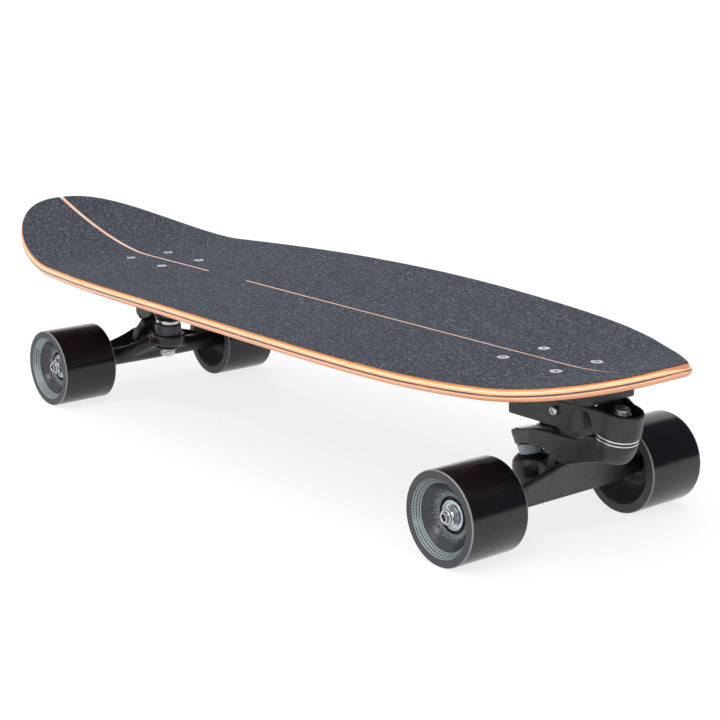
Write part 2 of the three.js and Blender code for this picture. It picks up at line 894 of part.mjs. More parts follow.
// A point of the kingpin's own frame, seen in the truck's frame
function fromRing(out, up) {
  const point = new THREE.Vector3(hanger.ringX + out, 0, hanger.ringZ + up);
  point.applyMatrix4(frontHangerFrame.matrix);
  return [point.x, point.z];
}

function makeArm() {
  const bossBottom = frontSeat;
  const bossTop = frontSeat + arm.bossHeight;
  const [endX, endZ] = fromRing(0, bossTop);
  const rampX = endX + (arm.top - endZ) / Math.tan(front.pitch);
  const beamSide = [
    fromRing(0, bossBottom),
    [arm.underPivotX, arm.underPivot],
    [arm.dipX, arm.dip],
    [swivel.x, arm.barrelDip],
    [swivel.x, arm.top],
    [rampX, arm.top],
    [endX, endZ],
  ];
  const beamPlan = mirrored([
    [endX - arm.bossRadius, arm.bossRadius],
    [endX, arm.bossRadius],
    [arm.shoulder, arm.halfWidth],
    [arm.taperX, arm.halfWidth],
    [swivel.x, arm.barrelRadius - arm.barrelRound],
  ]);
  const beam = solidOf(sideSlab(beamSide, arm.halfWidth + overrun)).intersect(
    solidOf(planSlab(beamPlan, 0, front.height)),
  );
  const bossFrame = new THREE.Group();
  bossFrame.matrix.multiplyMatrices(frontHangerFrame.matrix, ringFrame.matrix);
  const boss = solidOf(rod(arm.bossRadius, bossBottom, bossTop, roundSides), bossFrame);
  const barrel = turned([
    [0, -arm.barrelDepth],
    [arm.barrelFoot - arm.barrelRound, -arm.barrelDepth],
    [arm.barrelFoot, -arm.barrelDepth + arm.barrelRound],
    [arm.barrelRadius, -arm.barrelDepth / 2],
    [arm.barrelRadius, armBarrelTop - arm.barrelRound],
    [arm.barrelRadius - arm.barrelRound, armBarrelTop],
    [0, armBarrelTop],
  ]);
  const boltBore = turned([
    [0, -arm.barrelDepth - overrun],
    [swivelHead.radius + clearance, -arm.barrelDepth - overrun],
    [swivelHead.radius + clearance, -arm.barrelDepth + swivelHead.height + clearance],
    [swivel.boltRadius + clearance, -arm.barrelDepth + swivelHead.height + clearance],
    [swivel.boltRadius + clearance, overrun],
    [0, overrun],
  ]);
  const bearingRoom = rod(arm.barrelRadius + overrun, armBarrelTop, housing.rim, roundSides);
  const post = rod(springPost.radius, arm.underPivot + overrun, springPost.top);
  const body = joined([beam, boss, solidOf(barrel, swivelFrame)]);
  const cut = cutBy(body, [
    ...carrierCuts(frontHangerFrame, front, frontHeadSeat),
    solidOf(boltBore, swivelFrame),
    solidOf(bearingRoom, swivelFrame),
  ]);
  const posted = cut.add(solidOf(shifted(post, springPost.x, 0, 0)));
  return meshOf("swivel_arm", posted, finishes.casting);
}

function makeFrontBase() {
  const flangeTop = front.height - clearance;
  const flangeBottom = flangeTop - flange.thickness;
  const flangePlan = mirrored([
    [flange.tail, flange.halfWidth - flange.tailCorner],
    [flange.tail + flange.tailCorner, flange.halfWidth],
    [flange.nose - flange.corner, flange.halfWidth],
    [flange.nose, flange.noseHalfWidth],
  ]);
  const taper = taperShares.map(([along, left]) => [
    housing.shoulder + along * (swivel.x - housing.shoulder),
    housing.barrelRadius - clearance + left * (housing.halfWidth - housing.barrelRadius),
  ]);
  const wallPlan = mirrored([
    [housing.tail, housing.halfWidth],
    [housing.shoulder, housing.halfWidth],
    ...taper,
  ]);
  const wallSide = [
    [housing.tail, housing.bottom],
    [swivel.x, housing.bottom],
    [swivel.x, housing.noseTop - clearance],
    [swivel.x - housing.wellRadius, housing.noseTop],
    [housing.shoulder, flangeBottom],
    [housing.shoulder, flangeBottom + flange.thickness / 2],
    [housing.tail, flangeBottom + flange.thickness / 2],
  ];
  const walls = solidOf(planSlab(wallPlan, 0, front.height)).intersect(
    solidOf(sideSlab(wallSide, housing.halfWidth + overrun)),
  );
  const barrel = turned([
    [0, barrelBottom],
    [housing.barrelRadius - arm.barrelRound, barrelBottom],
    [housing.barrelRadius, barrelBottom + arm.barrelRound],
    [housing.barrelRadius, housing.rim],
    [0, housing.rim],
  ]);
  const well = turned([
    [0, barrelBottom - overrun],
    [swivelBush.radius + clearance, barrelBottom - overrun],
    [swivelBush.radius + clearance, wellFloor],
    [housing.wellRadius, wellFloor],
    [housing.wellRadius, front.height],
    [0, front.height],
  ]);
  const pocketPlan = mirrored([
    [housing.tail + housing.wall, housing.halfWidth - housing.wall],
    [0, housing.halfWidth - housing.wall],
    [housing.pocketNarrow, housing.noseWall],
    [housing.pocketNose, housing.noseWall],
  ]);
  const flute = (side) => {
    const cutter = rod(housing.fluteRadius, 0, housing.fluteTop, roundSides);
    return solidOf(shifted(cutter, housing.fluteX, side * housing.fluteY, 0));
  };
  const pinReach = housing.halfWidth + overrun;
  const pinHole = rod(springPin.radius + clearance, -pinReach, pinReach);
  const pinFrame = frameAlong(
    new THREE.Vector3(springPin.x, 0, springPin.z),
    new THREE.Vector3(0, 1, 0),
  );
  const bearingRoom = rod(thrust.room, armBarrelTop - overrun, barrelBottom, roundSides);
  const shell = cutBy(joined([walls, solidOf(barrel, swivelFrame)]), [
    solidOf(well, swivelFrame),
    solidOf(bearingRoom, swivelFrame),
    solidOf(planSlab(pocketPlan, 0, flangeBottom - housing.ceiling)),
    flute(-1),
    flute(1),
    solidOf(pinHole, pinFrame),
  ]);
  const blindEnd = flangeBottom - bolt.threadDepth - clearance;
  const boltHoles = boltPlaces(front.boltCentre).map(([x, y]) => {
    const bottom = x > front.boltCentre ? blindEnd : 0;
    return solidOf(shifted(rod(bolt.radius + clearance, bottom, front.height), x, y, 0));
  });
  const whole = shell.add(solidOf(planSlab(flangePlan, flangeBottom, flangeTop)));
  return meshOf("front_base", cutBy(whole, boltHoles), finishes.casting);
}

// The coil spring between the pin in the base and the post on the arm
function springPoints(length) {
  const steps = spring.curls * spring.steps;
  const rampSteps = spring.steps / 2;
  const start = springPin.radius + clearance;
  const end = length - springPost.radius - clearance;
  const pitch = (end - start - 2 * spring.wire) / steps;
  const points = [new THREE.Vector3(0, 0, start)];
  for (let i = 0; i <= steps; i++) {
    const radius = spring.radius * Math.min(1, i / rampSteps, (steps - i) / rampSteps);
    const angle = (2 * Math.PI * i) / spring.steps;
    const z = start + spring.wire + pitch * i;
    points.push(new THREE.Vector3(radius * Math.cos(angle), radius * Math.sin(angle), z));
  }
  points.push(new THREE.Vector3(0, 0, end));
  return points;
}

function leastGap(points, apart, thickness) {
  let least = Infinity;
  points.forEach((point, i) => {
    points.slice(i + apart).forEach((other) => {
      least = Math.min(least, point.distanceTo(other) - thickness);
    });
  });
  return least;
}

function tubeOver(points, radius, sides) {
  let normal = new THREE.Vector3(1, 0, 0);
  const rings = points.map((point, i) => {
    const before = points[Math.max(0, i - 1)];
    const after = points[Math.min(points.length - 1, i + 1)];
    const ahead = after.clone().sub(before).normalize();
    normal.addScaledVector(ahead, -normal.dot(ahead)).normalize();
    const binormal = ahead.clone().cross(normal);
    return Array.from({ length: sides }, (_, j) => {
      const angle = (-2 * Math.PI * j) / sides;
      return point
        .clone()
        .addScaledVector(normal, radius * Math.cos(angle))
        .addScaledVector(binormal, radius * Math.sin(angle));
    });
  });
  return skinOver(rings, true, true);
}

function makeSpring() {
  const from = new THREE.Vector3(springPin.x, 0, springPin.z);
  const to = new THREE.Vector3(springPost.x, 0, springPost.top - springPost.seat);
  const points = springPoints(from.distanceTo(to));
  const gap = leastGap(points, spring.steps / 2, spring.wire);
  console.log(`return spring: least gap to itself ${gap.toFixed(2)} mm`);
  const frame = frameAlong(from, to.clone().sub(from));
  const mesh = meshOf(
    "return_spring",
    solidOf(tubeOver(points, spring.wire / 2, spring.sides)),
    finishes.darkSteel,
  );
  frame.add(mesh);
  return frame;
}

function makeSpringBolt() {
  const shoulder = -housing.halfWidth - clearance;
  const pin = turned(
    [
      [0, shoulder - springPin.headHeight],
      [springPin.headRadius, shoulder - springPin.headHeight],
      [springPin.headRadius, shoulder],
      [springPin.radius, shoulder],
      [springPin.radius, housing.halfWidth - springPin.farEnd],
      [0, housing.halfWidth - springPin.farEnd],
    ],
    smallSides,
  );
  const frame = frameAlong(
    new THREE.Vector3(springPin.x, 0, springPin.z),
    new THREE.Vector3(0, 1, 0),
  );
  frame.add(meshOf("spring_bolt", solidOf(pin), finishes.steel));
  return frame;
}

function makeSwivelGroup() {
  const group = frameAt(swivel.x, swivel.z, swivel.lean);
  const bore = swivel.boltRadius + clearance;
  const washerBottom = wellFloor + clearance;
  const nutBottom = washerBottom + swivelNut.washerThickness;
  const nutTop = nutBottom + swivelNut.height;
  const boltTop = nutTop + bolt.headProud;
  const headBottom = -arm.barrelDepth + clearance;
  const shank = turned([
    [0, headBottom],
    [swivelHead.radius, headBottom],
    [swivelHead.radius, headBottom + swivelHead.height - clearance],
    [swivel.boltRadius, headBottom + swivelHead.height - clearance],
    [swivel.boltRadius, boltTop],
    [0, boltTop],
  ]);
  const nut = hexNut(swivelNut.acrossFlats, bore, washerBottom, nutTop).add(
    solidOf(tubeRing(bore, swivelNut.washerRadius, washerBottom, nutBottom)),
  );
  const upper = tubeRing(
    thrust.bore,
    thrust.radius,
    upperWasherBottom,
    upperWasherBottom + thrust.washer,
  );
  const cageTop = upperWasherBottom - clearance;
  const cage = tubeRing(thrust.bore, thrust.cageRadius, lowerWasherTop + clearance, cageTop);
  const lower = tubeRing(
    thrust.bore,
    thrust.radius,
    lowerWasherTop - thrust.washer,
    lowerWasherTop,
  );
  const bushBottom = barrelBottom + clearance;
  const bush = tubeRing(bore, swivelBush.radius, bushBottom, bushBottom + swivelBush.height);
  group.add(
    meshOf("swivel_bolt", solidOf(shank), finishes.steel),
    meshOf("swivel_nut", nut, finishes.steel),
    meshOf("thrust_washer_upper", solidOf(upper), finishes.steel),
    meshOf("thrust_cage", solidOf(cage), finishes.darkSteel),
    meshOf("thrust_washer_lower", solidOf(lower), finishes.steel),
    meshOf("swivel_bearing", solidOf(bush), finishes.steel),
  );
  return group;
}

function makeFrontTruck() {
  const truck = new THREE.Group();
  truck.position.set(frontAxleX, 0, axleHeight);
  truck.add(
    makeFrontBase(),
    makeArm(),
    makeSwivelGroup(),
    makeSpringBolt(),
    makeSpring(),
    makeHangerGroup("front", front, frontHeadSeat),
    ...makeTruckWheels("front", 1),
  );
  return truck;
}

// Rear truck
const rearHangerFrame = frameAt(0, 0, -rear.pitch);
const rearHeadSeat = seatOf(rear) + rear.headDepth;

const platePlan = mirrored([
  [plate.inner, plate.halfWidth - plate.corner],
  [plate.inner + plate.corner, plate.halfWidth],
  [plate.outer - plate.corner, plate.halfWidth],
  [plate.outer, plate.halfWidth - plate.corner],
]);

const rearBoltHoles = () =>
  boltPlaces(rear.boltCentre).map(([x, y]) =>
    solidOf(shifted(rod(bolt.radius + clearance, 0, front.height + overrun), x, y, 0)),
  );

function makeRearBase() {
  const plateBottom = plate.top - plate.thickness;
  const plateMiddle = plate.top - plate.thickness / 2;
  const bossPoint = new THREE.Vector3(hanger.ringX, 0, hanger.ringZ + seatOf(rear));
  bossPoint.applyMatrix4(rearHangerFrame.matrix);
  const pedestalSide = [
    [bossPoint.x, bossPoint.z],
    [pedestal.foot, pedestal.underPivot],
    [pedestal.lowX, pedestal.lowZ],
    [pedestal.outerFoot, pedestal.underPivot],
    [pedestal.outer, pedestal.outerZ],
    [plate.outer, plateMiddle],
    [bossPoint.x, plateMiddle],
  ];
  const bossFrame = new THREE.Group();
  bossFrame.matrix.multiplyMatrices(rearHangerFrame.matrix, ringFrame.matrix);
  const bossTop = plateMiddle - hanger.ringZ + hanger.ringX * Math.sin(rear.pitch);
  const boss = rod(pedestal.bossRadius, seatOf(rear), bossTop, roundSides);
  const body = joined([
    solidOf(planSlab(platePlan, plateBottom, plate.top)),
    solidOf(sideSlab(pedestalSide, pedestal.halfWidth)),
    solidOf(boss, bossFrame),
  ]);
  const cutters = [...carrierCuts(rearHangerFrame, rear, rearHeadSeat), ...rearBoltHoles()];
  return meshOf("rear_baseplate", cutBy(body, cutters), finishes.casting);
}

function makeRiser() {
  const body = solidOf(planSlab(platePlan, riserBottom, riserTop));
  return meshOf("rear_riser", cutBy(body, rearBoltHoles()), finishes.darkRubber);
}

function makeRearTruck() {
  const truck = new THREE.Group();
  truck.position.set(rearAxleX, 0, axleHeight);
  truck.rotation.z = Math.PI;
  truck.add(
    makeRiser(),
    makeRearBase(),
    makeHangerGroup("rear", rear, rearHeadSeat),
    ...makeTruckWheels("rear", -1),
  );
  return truck;
}

const surfSkateboard = new THREE.Group();
surfSkateboard.add(makeDeck(), makeGriptape(), ...makeBolts(), makeFrontTruck(), makeRearTruck());

export default surfSkateboard;
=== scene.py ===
"""The looks of a surf skateboard: kicked deck, grip sheet, swivelling front truck, rear truck and wheels.

Shapes are worked out in millimetres and go into the meshes in metres. +X points to the nose, +Y to the left.
"""

import math

import bmesh
import bpy
import numpy as np
from mathutils import Matrix, Vector


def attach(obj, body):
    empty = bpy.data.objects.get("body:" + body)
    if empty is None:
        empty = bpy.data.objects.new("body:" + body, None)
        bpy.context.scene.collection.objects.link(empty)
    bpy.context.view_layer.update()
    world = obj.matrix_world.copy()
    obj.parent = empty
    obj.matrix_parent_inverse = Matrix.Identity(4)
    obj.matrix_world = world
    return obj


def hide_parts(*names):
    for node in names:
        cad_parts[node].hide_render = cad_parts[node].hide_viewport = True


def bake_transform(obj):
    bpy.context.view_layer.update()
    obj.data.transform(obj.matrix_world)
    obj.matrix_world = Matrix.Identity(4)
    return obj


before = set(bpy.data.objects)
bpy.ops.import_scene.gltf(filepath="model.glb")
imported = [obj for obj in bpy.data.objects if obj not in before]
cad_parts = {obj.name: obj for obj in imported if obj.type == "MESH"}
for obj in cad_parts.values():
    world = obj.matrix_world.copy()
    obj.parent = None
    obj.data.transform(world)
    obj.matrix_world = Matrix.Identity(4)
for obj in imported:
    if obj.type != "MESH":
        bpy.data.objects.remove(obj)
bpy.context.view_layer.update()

MM = 0.001
TURN = 2 * math.pi


# Places -----------------------------------------------------------------


class Seat:
    """Where a piece sits: its points are turned, then shifted, in millimetres."""

    def __init__(self, at=(0, 0, 0), turn=None):
        self.at = np.array(at, float)
        self.turn = np.eye(3) if turn is None else np.array(turn, float)

    def __call__(self, points):
        """The points p in place: turn p + at."""
        return points @ self.turn.T + self.at

    def __matmul__(self, inner):
        """A seat given within this one."""
        return Seat(self(inner.at), self.turn @ inner.turn)


def leaning(degrees):
    """A turn about Y that leans Z towards X by the angle."""
    c, s = math.cos(math.radians(degrees)), math.sin(math.radians(degrees))
    return [[c, 0, s], [0, 1, 0], [-s, 0, c]]


def spun(angle):
    """A turn about Z."""
    c, s = math.cos(angle), math.sin(angle)
    return [[c, -s, 0], [s, c, 0], [0, 0, 1]]


def looking(direction):
    """A turn whose Z looks along the direction, with X near the board's long way."""
    z = np.array(direction, float) / np.linalg.norm(direction)
    x = np.array([1.0, 0, 0]) if abs(z[0]) < 0.9 else np.array([0, 1.0, 0])
    x = x - z * (x @ z)
    x /= np.linalg.norm(x)
    return np.stack([x, np.cross(z, x), z], axis=1)


SIDEWAYS = [[1, 0, 0], [0, 0, -1], [0, 1, 0]]
UPSIDE_DOWN = np.diag([1, -1, -1])

# Heights over the floor, the thickness of wood and grip, and the castings' top over the axles.
AXLE_HEIGHT = 35
DECK_TOP = 127.0
THICKNESS = 9.4
GRIP_HEIGHT = 0.45
TRUCK_TOP = DECK_TOP - THICKNESS - AXLE_HEIGHT - 0.2
# From the axle's middle: the kingpin ring's middle, the stem's seat and the line it tilts about.
RING = (-23.2, 0, 16.1)
PIVOT = (17, 0, 31)
STEERING = np.array([40.2, 0, 14.9]) / math.hypot(40.2, 14.9)
# The return spring's two ends, from the front axle's middle.
ANCHOR = (21.0, 0, 66.3)
SPRING_POST = (-17.5, 0, 42.0)
BOLT_SPACING = (53.98, 41.28)

front_truck = Seat((301.5, 0, AXLE_HEIGHT))
rear_truck = Seat((-250, 0, AXLE_HEIGHT), np.diag([-1, -1, 1]))
hangers = {"front": front_truck @ Seat(turn=leaning(-14)), "rear": rear_truck @ Seat(turn=leaning(-6))}
carriers = {"front": "front_arm", "rear": "board"}
swivel = front_truck @ Seat((56.55, 0, 50.5), leaning(11))


# Surfaces ---------------------------------------------------------------


class Skin:
    """A closed surface: a grid of rows of points, whose columns run round and meet again."""

    def __init__(self, points, seat=None, marks=None):
        self.points = points
        self.placed = points if seat is None else seat(points)
        self.marks = marks or {}


def softened(corners, radius, steps, closed=False):
    """Rounds the corners p of an outline: (1-t)^2 a + 2t(1-t) p + t^2 b, with a and b near p on its sides."""
    p = np.array(corners, float)
    back, ahead = np.roll(p, 1, 0) - p, np.roll(p, -1, 0) - p
    t = np.linspace(0, 1, steps + 1)[None, :, None]

    def near(way):
        """The point on the way where the rounding starts."""
        length = np.maximum(np.linalg.norm(way, axis=1), 1e-9)
        return p + way * (np.minimum(radius, 0.45 * length) / length)[:, None]

    a, b = near(back)[:, None], near(ahead)[:, None]
    curve = (1 - t) ** 2 * a + 2 * t * (1 - t) * p[:, None] + t**2 * b
    if closed:
        return curve.reshape(-1, p.shape[1])
    return np.concatenate([p[:1], curve[1:-1].reshape(-1, p.shape[1]), p[-1:]])


def spaced(outline, step):
    """A closed outline's points again, at equal steps along it."""
    loop = np.concatenate([outline, outline[:1]])
    length = np.concatenate([[0], np.cumsum(np.linalg.norm(np.diff(loop, axis=0), axis=1))])
    at = np.linspace(0, length[-1], max(12, round(length[-1] / step)), endpoint=False)
    return np.stack([np.interp(at, length, loop[:, k]) for k in (0, 1)], axis=1)


def mirrored(half):
    """An outline from its +Y half, which runs along X."""
    half = np.array(half, float)
    return np.concatenate([half, (half * [1, -1])[::-1]])


def rounded(corners, soft, step, steps=4):
    """A closed outline with its corners rounded and its points at even steps."""
    return spaced(softened(corners, soft, steps, True), step)


def smooth_line(points, count):
    """A centripetal Catmull-Rom curve through the points of a loop, count points to a span."""
    p = np.array(points, float)
    around = [np.roll(p, k, 0) for k in (1, 0, -1, -2)]
    spans = [np.linalg.norm(b - a, axis=1) ** 0.5 for a, b in zip(around, around[1:])]
    gap = [np.maximum(span, 1e-4)[:, None] for span in spans]
    a, b, c, d = around
    out = ((b - a) / gap[0] - (c - a) / (gap[0] + gap[1]) + (c - b) / gap[1]) * gap[1]
    into = ((c - b) / gap[1] - (d - b) / (gap[1] + gap[2]) + (d - c) / gap[2]) * gap[1]
    t = (np.arange(count) / count)[None, :, None]
    b, c, out, into = b[:, None], c[:, None], out[:, None], into[:, None]
    curve = b + out * t + (3 * (c - b) - 2 * out - into) * t**2 + (2 * (b - c) + out + into) * t**3
    return curve.reshape(-1, p.shape[1])


def hexagon(across):
    """The reach of a hexagon at an angle: half its width over the cosine of the angle to the nearest flat."""
    return lambda angle: across / 2 / np.cos((angle + TURN / 12) % (TURN / 6) - TURN / 12)


def rod(radius, low, high):
    """The profile of a plain round bar or bore."""
    return [[0, low], [radius, low], [radius, high], [0, high]]


def revolved(profile, seat=None, sides=72, reach=None):
    """Turns a profile (r, h) about Z: (r cos a, r sin a, h), where reach(a) may cap r."""
    profile = np.array(profile, float)
    angle = np.linspace(0, TURN, sides, endpoint=False)
    radius = np.repeat(profile[:, :1], sides, axis=1)
    if reach is not None:
        radius = np.minimum(radius, reach(angle)[None])
    height = np.repeat(profile[:, 1:], sides, axis=1)
    return Skin(np.stack([radius * np.cos(angle), radius * np.sin(angle), height], axis=-1), seat)


def turned(profile, soft, seat, sides=72, reach=None, steps=3):
    """Turns a profile (r, h) about Z, with its corners rounded."""
    return revolved(softened(profile, soft, steps), seat, sides, reach)


def capped(rows, seat=None):
    """A surface of rings, closed at both ends by the middle point of the end ring."""
    ends = [np.repeat(rows[k].mean(0)[None, None], rows.shape[1], axis=1) for k in (0, -1)]
    return Skin(np.concatenate([ends[0], rows, ends[1]]), seat)


def slab(outline, low, high, seat, edge):
    """An outline in plan from height low(x, y) to high(x, y), with its edges rounded to quarter circles."""
    p = np.array(outline, float)
    way = np.roll(p, -1, 0) - np.roll(p, 1, 0)
    length = np.maximum(np.linalg.norm(way, axis=1), 1e-9)[:, None]
    out = np.stack([way[:, 1], -way[:, 0]], axis=1) / length
    if np.sum(p[:, 0] * np.roll(p[:, 1], -1) - np.roll(p[:, 0], -1) * p[:, 1]) < 0:
        out = -out
    level = [h if callable(h) else (lambda x, y, h=h: np.full_like(x, h)) for h in (low, high)]
    a = np.linspace(0, math.pi / 2, 4)
    inset, drop = edge * (1 - np.sin(a)), edge * (1 - np.cos(a))
    middle = p.mean(0)

    def row(inward, side, sink):
        """The outline drawn in, at the lower side 0 or the upper side 1."""
        at = p - out * inward
        return np.column_stack([at, level[side](*at.T) + (sink if side == 0 else -sink)])

    def hub(side):
        """The middle point, which closes a side."""
        at = np.repeat(middle[None], len(p), 0)
        return np.column_stack([at, level[side](*at.T)])

    rows = [hub(0)] + [row(i, 0, d) for i, d in zip(inset, drop)]
    rows += [row(i, 1, d) for i, d in zip(inset[::-1], drop[::-1])] + [hub(1)]
    return Skin(np.stack(rows), seat)


def swept(path, radius, seat, sides=32, side=(0, 1, 0)):
    """A tube with closed ends: each ring lies across the path's way, at the radius given for it."""
    path, radius = np.array(path, float), np.broadcast_to(radius, len(path))
    way = np.gradient(path, axis=0)
    way /= np.linalg.norm(way, axis=1)[:, None]
    first = np.array(side, float) - way * (way @ np.array(side, float))[:, None]
    first /= np.linalg.norm(first, axis=1)[:, None]
    second = np.cross(way, first)
    angle = np.linspace(0, TURN, sides, endpoint=False)[None, :, None]
    ring = first[:, None] * np.cos(angle) + second[:, None] * np.sin(angle)
    rows = path[:, None] + ring * radius[:, None, None]
    ends = [np.repeat(path[k][None, None], sides, axis=1) for k in (0, -1)]
    return Skin(np.concatenate([ends[0], rows, ends[1]]), seat)


# Meshes -----------------------------------------------------------------


def made(name, skins, crease=32):
    """A mesh object of closed skins: rows and columns become four-sided faces, and points that meet join."""
    placed, local, marks, faces, start = [], [], {}, [], 0
    for skin in skins:
        rows, columns = skin.points.shape[:2]
        here = start + np.arange(rows * columns).reshape(rows, columns)
        beside = np.roll(here, -1, axis=1)
        faces.append(np.stack([here[:-1], beside[:-1], beside[1:], here[1:]], axis=-1).reshape(-1, 4))
        placed.append(skin.placed.reshape(-1, 3))
        local.append(skin.points.reshape(-1, 3))
        for mark, values in skin.marks.items():
            marks.setdefault(mark, []).append(np.broadcast_to(values, (rows, columns)).ravel())
        start += rows * columns
    mesh = bpy.data.meshes.new(name)
    mesh.from_pydata((np.concatenate(placed) * MM).tolist(), [], np.concatenate(faces).tolist())
    attribute = mesh.attributes.new("own_place", "FLOAT_VECTOR", "POINT")
    attribute.data.foreach_set("vector", np.concatenate(local).ravel().astype(np.float32))
    for mark, values in marks.items():
        attribute = mesh.attributes.new(mark, "FLOAT", "POINT")
        attribute.data.foreach_set("value", np.concatenate(values).astype(np.float32))
    grid = bmesh.new()
    grid.from_mesh(mesh)
    bmesh.ops.remove_doubles(grid, verts=grid.verts, dist=2e-6)
    bmesh.ops.recalc_face_normals(grid, faces=grid.faces)
    grid.to_mesh(mesh)
    grid.free()
    obj = bpy.data.objects.new(name, mesh)
    bpy.context.scene.collection.objects.link(obj)
    return creased(obj, crease)


def creased(obj, crease):
    """Shades a mesh smooth, but for edges that turn by more than the angle."""
    obj.data.polygons.foreach_set("use_smooth", [True] * len(obj.data.polygons))
    obj.data.set_sharp_from_angle(angle=math.radians(crease))
    return obj


def settled(obj):
    """The object with its modifiers worked into its mesh."""
    shape = bpy.data.meshes.new_from_object(obj.evaluated_get(bpy.context.evaluated_depsgraph_get()))
    obj.modifiers.clear()
    obj.data = shape
    return obj


def cast(name, skins, cutters, grain=0.85, ease=5):
    """A casting: closed skins are fused on a fine grid, eased so that corners fill in, and then bored."""
    obj = made(name, skins)
    fuse = obj.modifiers.new("fuse", "REMESH")
    fuse.mode = "VOXEL"
    fuse.voxel_size = grain * MM
    smooth = obj.modifiers.new("ease", "SMOOTH")
    smooth.factor = 0.5
    smooth.iterations = ease
    settled(obj)
    for i, cutter in enumerate(cutters):
        tool = made(f"{name}_cutter_{i}", [cutter])
        cut = obj.modifiers.new("cut", "BOOLEAN")
        cut.operation = "DIFFERENCE"
        cut.solver = "EXACT"
        cut.object = tool
        settled(obj)
        bpy.data.objects.remove(tool)
    return creased(obj, 38)


def joined_with(obj, skins):
    """Adds closed skins to an object's mesh as they are."""
    extra = made(obj.name + "_extra", skins)
    grid = bmesh.new()
    grid.from_mesh(obj.data)
    grid.from_mesh(extra.data)
    grid.to_mesh(obj.data)
    grid.free()
    bpy.data.objects.remove(extra)
    return obj


def fitted(obj, body, slot, finish, *nodes):
    """Puts a finished piece on its body, in place of its solids."""
    obj.data.materials.clear()
    obj.data.materials.append(finish)
    if body is not None:
        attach(obj, body)
    if nodes:
        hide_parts(*nodes)
    return obj


def add(name, skins, body, slot, finish, *nodes, crease=32):
    """Makes a piece of closed skins and fits it."""
    return fitted(made(name, skins, crease), body, slot, finish, *nodes)


# Finishes ---------------------------------------------------------------


def paint(red, green, blue):
    """A colour from its screen values 0 to 255, as linear light."""
    share = np.array([red, green, blue]) / 255
    light = np.where(share <= 0.04045, share / 12.92, ((share + 0.055) / 1.055) ** 2.4)
    return (*light, 1.0)


class Amount:
    """A number that changes over a surface; sums on it add Math nodes to its recipe."""

    def __init__(self, recipe, socket):
        self.recipe, self.socket = recipe, socket

    def _sum(self, operation, *terms):
        """The outcome of one Math node."""
        node = self.recipe.node("ShaderNodeMath", {"operation": operation}, dict(enumerate(terms)))
        return Amount(self.recipe, node.outputs[0])

    def __add__(self, other):
        return self._sum("ADD", self, other)

    def __sub__(self, other):
        return self._sum("SUBTRACT", self, other)

    def __rsub__(self, other):
        return self._sum("SUBTRACT", other, self)

    def __mul__(self, other):
        return self._sum("MULTIPLY", self, other)

    def __truediv__(self, other):
        return self._sum("DIVIDE", self, other)

    def __pow__(self, other):
        return self._sum("POWER", self, other)

    def __lt__(self, other):
        return self._sum("LESS_THAN", self, other)

    def __gt__(self, other):
        return self._sum("GREATER_THAN", self, other)

    __radd__, __rmul__ = __add__, __mul__

    def sine(self):
        return self._sum("SINE", self)

    def size(self):
        return self._sum("ABSOLUTE", self)

    def angle_to(self, other):
        return self._sum("ARCTAN2", self, other)

    def ramp(self, low, high):
        """0 below low and 1 above high, turning smoothly between them; low may be the larger."""
        node = self.recipe.node(
            "ShaderNodeMapRange",
            {"interpolation_type": "SMOOTHSTEP"},
            {"Value": self, "From Min": low, "From Max": high},
        )
        return Amount(self.recipe, node.outputs[0])


